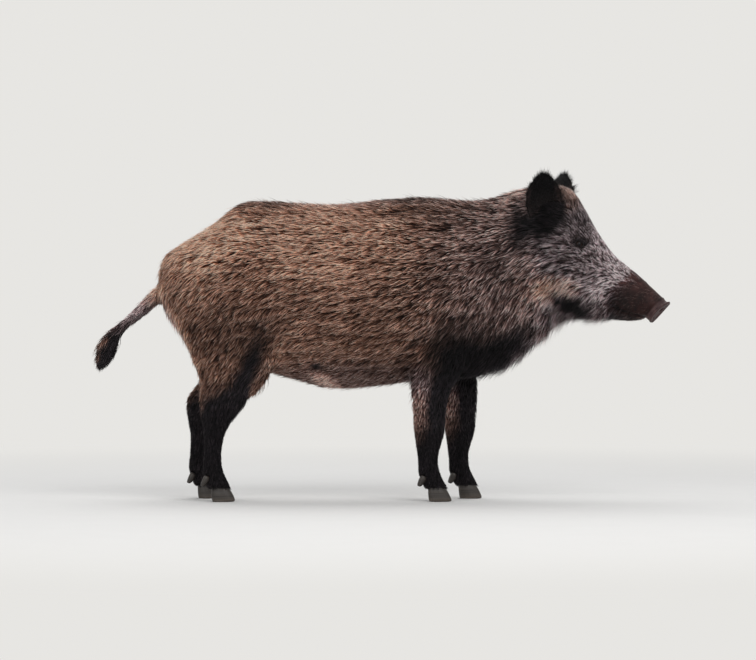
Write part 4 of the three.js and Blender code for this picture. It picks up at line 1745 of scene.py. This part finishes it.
@dataclass(frozen=True)
class SnoutDisc:
    """The rimmed oval plate at the snout's end.

    Args:
        front: the middle of its face on the straight animal.
        tilt: where it faces, in radians from forwards.
        broad, tall: its half sizes.
        thick: its thickness.
        spread, up: where the nostrils are on it.
        nostril: their half width and height.
        hole: how deep they go.
        bent: how far its upper and lower edges stand forwards of its middle.
        behind, waist: depths behind its face, and the snout's size there in shares of the plate's.
    """

    front: Triple = (0.7042, 0.0, 0.480)
    tilt: float = math.radians(-41.5)
    broad: float = 0.038
    tall: float = 0.0355
    thick: float = 0.019
    spread: float = 0.0140
    up: float = 0.002
    nostril: tuple[float, float] = (0.0078, 0.0060)
    hole: float = 0.013
    bent: float = 0.0046
    behind: tuple[float, ...] = (-0.026, -0.019, -0.014, -0.0095, -0.0070, -0.0038, -0.0010, 0.001)
    waist: tuple[float, ...] = (0.92, 0.87, 0.85, 0.89, 0.96, 1.01, 0.98, 0.94)

    def axes(self) -> Array:
        """Finds the plate's own directions on the posed animal.

        Returns:
            Facing, left and up, one row each.
        """
        cosine, sine = math.cos(self.tilt), math.sin(self.tilt)
        rows = np.array([(cosine, 0.0, sine), (0.0, 1.0, 0.0), (-sine, 0.0, cosine)])
        return POSTURE.turned(rows, np.full(3, self.front[0]))

    def middle(self) -> Array:
        """The middle of the plate's face on the posed animal."""
        return POSTURE.placed(np.array([self.front]))[0]

    def local(self, points: Array) -> Array:
        """Points as forwards, left and up from the middle of the plate's face."""
        return (points - self.middle()) @ self.axes().T

    def size(self, local: Array) -> Array:
        """How far places are from the plate's middle line, in shares of its half sizes."""
        return np.hypot(local[:, 1] / self.broad, local[:, 2] / self.tall)

    def flared(self, points: Array) -> Array:
        """Draws the plate's rim and the waist behind it out to their true width, and bends the plate.

        Args:
            points: the skin's vertices.

        Returns:
            The vertices moved.
        """
        local = self.local(points)
        size = self.size(local)
        height = np.clip(local[:, 2] / self.tall, -1.0, 1.0)
        thicker = 0.40 * smoothstep(-0.2, 1.0, height)
        thinner = 0.22 * smoothstep(0.0, -1.0, height)
        depth = local[:, 0] * (1 + thicker - thinner)
        waist = np.interp(depth, self.behind, self.waist)
        target = waist + (0.97 - waist) * smoothstep(-0.35, -0.9, height) * (depth < -0.008)
        share = smoothstep(-0.026, -0.017, local[:, 0]) * smoothstep(0.72, 0.84, size) * (size < 1.35)
        scale = 1 + share * (target / np.maximum(size, 0.1) - 1) * smoothstep(0.004, 0.0005, local[:, 0])
        local[:, 1:] *= scale[:, None]
        bend = self.bent * (height**2 - 0.6)
        local[:, 0] += bend * smoothstep(-0.016, -0.002, local[:, 0]) * (size < 1.35)
        return self.middle() + local @ self.axes()

    def holes(self, local: Array) -> Array:
        """Finds the nostrils.

        Args:
            local: places by the plate's own directions.

        Returns:
            0 outside them, 1 inside them.
        """
        across = (np.abs(local[:, 1]) - self.spread) / self.nostril[0]
        up = (local[:, 2] - self.up - 0.12 * np.abs(local[:, 1])) / self.nostril[1]
        return smoothstep(1.12, 0.86, np.hypot(across, up))

    def shares(self, points: Array) -> tuple[Array, Array]:
        """Finds the parts of the snout's end.

        Args:
            points: the skin's vertices.

        Returns:
            Which of them are on the plate, and which in the nostrils.
        """
        local = self.local(points)
        back = smoothstep(-self.thick * 1.05, -self.thick * 0.75, local[:, 0])
        return back * (self.size(local) < 1.25), self.holes(local) * (local[:, 0] > -0.010)

    def pressed(self, points: Array) -> Array:
        """Presses in the nostrils and the hollows of the plate's face and raises its rim.

        Args:
            points: the skin's vertices.

        Returns:
            The vertices moved.
        """
        local = self.local(points)
        _, left, up = local.T
        size = self.size(local)
        rim = hill(-0.0016, (size, 0.86, 0.09))
        hollow = 0.0014 * smoothstep(0.78, 0.55, size)
        lip = hill(-0.0016, (np.abs(left), self.spread, 0.0105), (up, self.up, 0.0095))
        notch = hill(0.0022, (left, 0.0, 0.0035)) * smoothstep(-0.008, -0.030, up)
        depth = self.hole * self.holes(local) + rim + hollow + lip + notch
        return points - self.axes()[0] * (depth * (local[:, 0] > -0.008))[:, None]


# ---- coat


TRUNK = {"contrast": 1.15}
FACE = {"slot": "face", "nodes": ("head", "snout", "lower_jaw"), "long": False, "thick": 0.0013,
        "thin_out": 0.78, "clump": 8, "stretch": 5.0, "contrast": 3.0, "dark": 1.0}
REGIONS = (
    Region("coat_rump", "brown", ("hindquarters",), 1, thin_out=1.04, **TRUNK),
    Region("coat_flank_right", "brown", ("barrel",), 2, Side.RIGHT, thin_out=0.93, **TRUNK),
    Region("coat_flank_left", "brown", ("barrel",), 3, Side.LEFT, thin_out=0.93, **TRUNK),
    Region("coat_shoulders", "shoulder", ("forequarters",), 4, thin_out=0.97, contrast=1.5),
    Region("coat_neck", "shoulder", ("neck",), 5, thin_out=0.87, clump=4, stretch=4.0, wild=0.09,
           contrast=2.1, dark=1.3),
    Region("coat_thighs", "brown", ("thigh",), 6, thin_out=1.17, **TRUNK),
    Region("coat_forearms", "black", ("forearm",), 7, thin_out=1.32, wild=0.03),
    Region("coat_legs", "black", ("cannon", "pastern"), 8, long=False, thick=0.0017, clump=5, wild=0.02),
    Region("coat_tail", "brown", ("tail",), 9, thick=0.0018, thin_out=0.66, clump=5),
    Region("coat_ears", "black", ("ear_",), 10, long=False, thick=0.0014, thin_out=0.9, clump=5, wild=0.22),
    Region("coat_face_right", seed=11, side=Side.RIGHT, **FACE),
    Region("coat_face_left", seed=12, side=Side.LEFT, **FACE),
)


@dataclass
class Coat:
    """The coat over the whole skin, in pieces.

    Args:
        skin: the skin it grows on.
        most: the most triangles that a piece may have.
        sparse: how much hair the bare muzzle has next to the face.
        sway: how far a tuft turns by itself, with its lock and with the ripples, in degrees.
        band: the size of the coat's faint bands.
        ripple: the size of its ripples.
        rooted: how deep in the skin the tufts start.
    """

    skin: Skin
    most: int = 198000
    sparse: float = 0.5
    sway: Triple = (4.0, 4.0, 13.0)
    band: Triple = (0.095, 0.2, 0.020)
    ripple: Triple = (0.055, 0.2, 0.014)
    rooted: float = 0.0012

    def build(self) -> None:
        """Builds every region's piece."""
        skin = self.skin
        self.points = skin.points
        self.triangles = numbers(skin.piece.data.loops, "vertex_index", 1, np.int32).reshape(-1, 3)
        self.normals = vertex_normals(skin.piece)
        self.tree = BVHTree.FromPolygons(self.points.tolist(), self.triangles.tolist())
        self.middles = skin.straight[self.triangles].mean(axis=1)
        for region in REGIONS:
            self.grow(region)

    def faces_of(self, region: Region) -> Array:
        """Finds the skin's faces in a region.

        Args:
            region: the region.

        Returns:
            Their numbers.
        """
        wanted = np.array([any(word in name for word in region.nodes) for name in FLESH])
        chosen = wanted[self.skin.owner[self.triangles[:, 0]]]
        if region.side is not Side.BOTH:
            chosen &= np.sign(self.middles[:, 1]) == region.side.value
        return np.nonzero(chosen)[0]

    def unwrapped(self, faces: Array) -> Array:
        """Unwraps some faces of the skin by their own shape.

        Args:
            faces: the faces' numbers.

        Returns:
            The places of their corners on the map.
        """
        used, corners = np.unique(self.triangles[faces], return_inverse=True)
        patch = mesh_from("unwrap", self.points[used], corners.reshape(-1, 3))
        with edited(patch):
            bpy.ops.uv.smart_project(angle_limit=math.radians(70), island_margin=0.004)
        places = numbers(patch.data.uv_layers.active.data, "uv", 2).reshape(-1, 3, 2).astype(float)
        bpy.data.objects.remove(patch)
        return places

    def grow(self, region: Region) -> None:
        """Chooses where one region's tufts stand, and grows them.

        Args:
            region: which part of the coat it is.
        """
        rng = np.random.default_rng(1000 + region.seed)
        faces = self.faces_of(region)
        on_map = self.unwrapped(faces)
        corners = self.triangles[faces]
        weight = self.crowding(region, faces, corners)
        wanted = weight.sum()
        count = int(min(wanted, self.most / region.triangles))
        LOG.info("%s: %d tufts wanted, %d grown", region.name, wanted, count)
        reach = np.concatenate([[0.0], np.cumsum(weight)])
        picks = (np.arange(count) + rng.uniform(0, 1, count)) / count * reach[-1]
        chosen = np.clip(np.searchsorted(reach, picks, side="right") - 1, 0, len(faces) - 1)
        shares = rng.uniform(0, 1, (count, 2))
        over = shares.sum(axis=1) > 1
        shares[over] = 1 - shares[over]
        shares = np.concatenate([1 - shares.sum(axis=1, keepdims=True), shares], axis=1)
        self.sprout(region, rng, corners[chosen], shares, np.einsum("nk,nkd->nd", shares, on_map[chosen]))

    def crowding(self, region: Region, faces: Array, corners: Array) -> Array:
        """Finds how many tufts stand on each face.

        Args:
            region: which part of the coat it is.
            faces: the faces' numbers.
            corners: their vertices.

        Returns:
            The numbers, not whole.
        """
        skin = self.skin
        edge_one = self.points[corners[:, 1]] - self.points[corners[:, 0]]
        edge_two = self.points[corners[:, 2]] - self.points[corners[:, 0]]
        area = 0.5 * np.linalg.norm(np.cross(edge_one, edge_two), axis=1)
        spacing = region.spacing(skin.locks.length[corners].mean(axis=1))
        off_disc = 1 - skin.disc[corners].mean(axis=1)
        nose = smoothstep(0.680, 0.575, self.middles[faces, 0])
        haired = (1 - skin.bare[corners].mean(axis=1)) ** 2
        hairy = np.maximum(haired, self.sparse * (0.2 + nose) * off_disc) * (off_disc > 0.9)
        return area / spacing**2 * hairy * self.clear_of_eyes(self.points[corners].mean(axis=1))

    def clear_of_eyes(self, places: Array) -> Array:
        """Keeps the hair off the lids' margins and thins it round the eyes.

        Args:
            places: where it may grow.

        Returns:
            The share that is kept at each place.
        """
        keep = np.ones(len(places))
        for eye in self.skin.eyes:
            across, up, out = eye.local(places).T
            edge = eye.opening(across, up)
            near = (out > 0) & (edge < 3)
            keep[near] = np.minimum(keep[near], smoothstep(1.15, 1.5, edge[near]))
        return keep

    def sprout(self, region: Region, rng: np.random.Generator, corners: Array, shares: Array,
               on_map: Array) -> None:
        """Lays the tufts and builds their mesh.

        Args:
            region: which part of the coat it is.
            rng: its random numbers.
            corners: the skin's triangle under each root.
            shares: the root's place in that triangle.
            on_map: the root's place on the unwrapped skin.
        """
        def at_root(values: Array) -> Array:
            """Values of the skin's vertices at the roots."""
            return np.einsum("nk,nk...->n...", shares, values[corners])

        skin, locks, count = self.skin, self.skin.locks, len(corners)
        root, normal = at_root(self.points), unit(at_root(self.normals))
        straight, flow = at_root(skin.straight), at_root(locks.direction)
        length, height = at_root(locks.length), at_root(locks.height)
        ahead = straight + at_root(locks.fall) * (0.6 * length)[:, None]
        marks = MARKINGS.at(ahead, at_root(skin.leg) > 0.5, at_root(skin.ear) > 0.5)
        # the black mark carries painted shade in a few places as well as black hair
        black, fringe = marks[:, Mark.BLACK.value], marks[:, Mark.LOOSE.value]
        marks[:, Mark.BLACK.value] = np.maximum(black, 0.85 * at_root(skin.bare))
        along = unit(flow - normal * dot(flow, normal))
        # locks: some tufts lead, and the others follow the nearest leader
        seeds = rng.permutation(count)[: max(count // region.clump, 1)]
        lead = self.leaders(root, along, seeds, region.stretch)
        own, shared = rng.normal(size=(count, 4)), rng.normal(size=(count, 4))[lead]
        # more single hairs stand out under the belly and on the buttocks
        loose = 1 + 2.5 * smoothstep(0.0, -0.6, normal[:, 2]) + 1.5 * smoothstep(-0.4, -0.9, normal[:, 0])
        wild = rng.uniform(size=count) < region.wild * loose + fringe
        band, ripple = waves(straight, self.band, 5), waves(straight, self.ripple, 6)
        length = length * np.clip(1 + 0.16 * own[:, 1] + 0.12 * shared[:, 0], 0.5, 1.5)
        length = length * (1 + (0.15 + 0.9 * fringe) * wild)
        height = height * np.clip(1 + 0.25 * own[:, 2] + 0.20 * shared[:, 2] + 0.20 * band, 0.3, 1.4)
        height = height * np.where(wild, rng.uniform(1.25, 1.8, count) * (1 + 1.8 * fringe), 1.0)
        alone, together, rippled = self.sway
        swing = np.radians(alone * own[:, 0] + together * shared[:, 0] + rippled * ripple)[:, None]
        along = along * np.cos(swing) + np.cross(normal, along) * np.sin(swing)
        centres = self.laid(region, root, normal, along, length, height)
        # the tips of a lock draw together
        gap = root - root[lead]
        beside = (gap - along * dot(gap, along)) * np.where(wild, 0.0, 1.0)[:, None]
        for number, share in enumerate((0.0, 0.20, 0.45) if region.long else (0.0, 0.30)):
            centres[number] = centres[number] - beside * share
        width = region.thick * np.clip(1 + 0.18 * own[:, 0], 0.6, 1.5) * np.where(wild, 0.6, 1.0)
        strands = Strands(np.stack(centres, axis=1), normal, width, (0.85, 1.0) if region.long else (1.0,))
        piece = strands.mesh(region.name, on_map, marks[:, :3], region.tones(own, shared, band))
        dress(piece, COAT_MATERIAL)

    def laid(self, region: Region, root: Array, normal: Array, along: Array, length: Array,
             height: Array) -> list[Array]:
        """Leads the tufts over the skin, in one step or two, but straight on where it turns away.

        Args:
            region: which part of the coat it is.
            root, normal: the roots and the skin's direction outwards there.
            along: where the tufts point.
            length, height: how long they are and how far their tips stand over the skin.

        Returns:
            The tufts' centres: all roots, then all places after the first step, and so on.
        """
        centres = [root - normal * self.rooted]
        base, direction = root, along
        for part, lift in ((0.5, 0.62), (0.5, 1.0)) if region.long else ((1.0, 1.0),):
            reached = base + direction * (length * part)[:, None]
            place, out = self.on_skin(reached)
            free = np.linalg.norm(place - base, axis=1) / (length * part)
            lost = smoothstep(0.80, 0.50, free)[:, None]
            place = place * (1 - lost) + reached * lost
            out = unit(out * (1 - lost) + normal * lost)
            centres.append(place + out * (height * lift)[:, None])
            base, direction = place, unit(direction - out * dot(direction, out))
        return centres

    def leaders(self, root: Array, along: Array, seeds: Array, stretch: float) -> Array:
        """Gathers the tufts into locks that are longer than wide.

        Args:
            root: the tufts' roots.
            along: where each one points.
            seeds: the numbers of the tufts that lead a lock.
            stretch: how much longer than wide a lock is.

        Returns:
            The number of each tuft's leader.
        """
        tree = KDTree(len(seeds))
        for number, place in enumerate(root[seeds]):
            tree.insert(place, number)
        tree.balance()
        near = min(6, len(seeds))
        found = np.array([[hit[1] for hit in tree.find_n(place, near)] for place in root])
        gap = root[seeds[found]] - root[:, None]
        run = np.einsum("nkd,nd->nk", gap, along)
        far = (gap**2).sum(axis=2) - run**2 * (1 - 1 / stretch**2)
        return seeds[found[np.arange(len(root)), np.argmin(far, axis=1)]]

    def on_skin(self, places: Array) -> tuple[Array, Array]:
        """Finds the nearest places on the skin.

        Args:
            places: where to look from.

        Returns:
            The places, and the skin's direction outwards there.
        """
        found = [self.tree.find_nearest(Vector(place)) for place in places]
        spots = np.array([hit[0] for hit in found])
        faces = np.array([hit[2] for hit in found])
        return spots, unit(self.normals[self.triangles[faces]].mean(axis=1))


# ---- hooves


@dataclass(frozen=True)
class Hoof:
    """One claw or dewclaw of horn.

    Args:
        node: the solid it stands for.
        lift: how far a claw's top goes up into the foot.
        neck: how much narrower its top is than the solid's.
        rings: how far its growth rings stand out.
    """

    node: str
    lift: float = 0.006
    neck: float = 0.9
    rings: float = 0.00035

    def build(self, material: Material) -> None:
        """Builds and dresses it.

        Args:
            material: the horn.
        """
        piece = copy_nodes([self.node], "horn_" + self.node)
        points = coordinates(piece)
        low, high = points.min(axis=0), points.max(axis=0)
        claw = "dewclaw" not in self.node
        if claw:
            top = points[:, 2] > high[2] - 0.001
            middle = points[top].mean(axis=0)
            points[top, :2] = middle[:2] + (points[top, :2] - middle[:2]) * self.neck
            points[top, 2] += self.lift
            set_coordinates(piece, points)
        with edited(piece):
            bpy.ops.mesh.tris_convert_to_quads()
        modify(piece, "SUBSURF", levels=2, render_levels=2)
        points = coordinates(piece)
        new_low, new_high = points.min(axis=0), points.max(axis=0)
        target = high + np.array([0, 0, self.lift if claw else 0.0])
        points = low + (points - new_low) / (new_high - new_low) * (target - low)
        if claw:
            bulge = waves(points, (0.05, 0.05, 0.007), 3) * self.rings
            away = unit((points - points.mean(axis=0)) * np.array([1.0, 1.0, 0.0]))
            points += away * (bulge * smoothstep(0.001, 0.004, points[:, 2]))[:, None]
        set_coordinates(piece, points)
        modify(piece, "TRIANGULATE")
        bpy.ops.object.shade_smooth_by_angle(angle=math.radians(50))
        dress(piece, material, [self.node])


# ---- studio


@dataclass(frozen=True)
class Studio:
    """Camera, pale floor, plain backdrop and soft lights.

    Args:
        distance: how far the camera stands from the animal.
        height: the camera's height.
        aim: what it points at, on the animal's middle plane.
        width: how much of that plane it shows from side to side.
        pale: the backdrop's colour.
    """

    distance: float = 12.0
    height: float = 0.68
    aim: Triple = (-0.0091, 0.0, 0.4335)
    width: float = 1.928
    pale: Colour = (0.80, 0.79, 0.765)

    def build(self) -> None:
        """Builds all of it."""
        self.camera()
        self.floor()
        self.world()
        self.lamp("key", (1.6, -3.6, 3.6), 3.0, 105.0)
        self.lamp("fill", (-2.6, -4.2, 1.6), 3.0, 62.0)
        self.lamp("top", (-0.3, 1.4, 3.8), 3.2, 64.0)
        bpy.context.scene.view_settings.view_transform = "Standard"

    def place(self, name: str, data: bpy.types.ID, place: Triple) -> Object:
        """Stands a camera or a lamp so that it points at the animal.

        Args:
            name: its name.
            data: the camera or the lamp.
            place: where it stands.

        Returns:
            Its object.
        """
        item = bpy.data.objects.new(name, data)
        item.location = place
        item.rotation_euler = (Vector(self.aim) - Vector(place)).to_track_quat("-Z", "Y").to_euler()
        bpy.context.scene.collection.objects.link(item)
        return item

    def camera(self) -> None:
        """Sets up the camera, which looks across the animal at its right side."""
        data = bpy.data.cameras.new("camera")
        data.sensor_width = 36.0
        eye = (self.aim[0], -self.distance, self.height)
        data.lens = data.sensor_width * (Vector(self.aim) - Vector(eye)).length / self.width
        data.clip_end = 200.0
        bpy.context.scene.camera = self.place("camera", data, eye)

    def floor(self) -> None:
        """Lays a wide pale floor that runs into the backdrop's colour far from the animal."""
        floor = primitive("floor", bpy.ops.mesh.primitive_circle_add,
                          vertices=96, radius=60.0, fill_type="NGON")
        graph = Graph("floor_pale")
        place = graph.add("TexCoord").outputs["Object"]
        far = graph.add("VectorMath", {0: place}, operation="LENGTH").outputs["Value"]
        grain = graph.pattern("Noise", 9, detail=3.0).outputs["Fac"]
        near = graph.mix(grain, (0.80, 0.79, 0.77), (0.83, 0.82, 0.80))
        soft = graph.add("BsdfPrincipled", {"Base Color": near, "Roughness": 0.9, "Specular IOR Level": 0.1})
        plain = graph.add("Emission", {"Color": (*self.pale, 1.0), "Strength": 1.0})
        edge = graph.add("MapRange", {0: far, 1: 1.0, 2: 3.2}, interpolation_type="SMOOTHSTEP").outputs[0]
        share = graph.calc("MULTIPLY", edge, graph.seen())
        shader = graph.add("MixShader", {0: share, 1: soft.outputs[0], 2: plain.outputs[0]})
        floor.data.materials.append(graph.finish(shader))

    def world(self) -> None:
        """Lights evenly all round, and shows the backdrop's colour where it is looked at."""
        graph = Graph("studio", "worlds")
        bpy.context.scene.world = graph.material
        light = graph.add("Background", {"Color": (0.95, 0.97, 1.0, 1.0), "Strength": 0.42})
        back = graph.add("Background", {"Color": (*self.pale, 1.0), "Strength": 1.0})
        mix = graph.add("MixShader", {0: graph.seen(), 1: light.outputs[0], 2: back.outputs[0]})
        graph.add("OutputWorld", {"Surface": mix.outputs[0]})

    def lamp(self, name: str, place: Triple, size: float, power: float) -> None:
        """Sets up one soft square lamp.

        Args:
            name: its name.
            place: where it stands.
            size: its side.
            power: its power, in watts.
        """
        data = bpy.data.lights.new(name, "AREA")
        data.size = size
        data.energy = power
        self.place(name, data, place)


COAT_MATERIAL = CoatFinish().material()


def main() -> None:
    """Builds the studio and every piece in order."""
    logging.basicConfig(level=logging.INFO, format="%(name)s %(relativeCreated)d ms: %(message)s")
    Studio().build()
    eyes = [Eye(Side.RIGHT), Eye(Side.LEFT)]
    skin = Skin()
    skin.build(eyes)
    for eye in eyes:
        eye.build()
    horn = HornFinish().material()
    for node in CLAWS:
        Hoof(node).build(horn)
    Coat(skin).build()


if __name__ == "__main__":
    main()
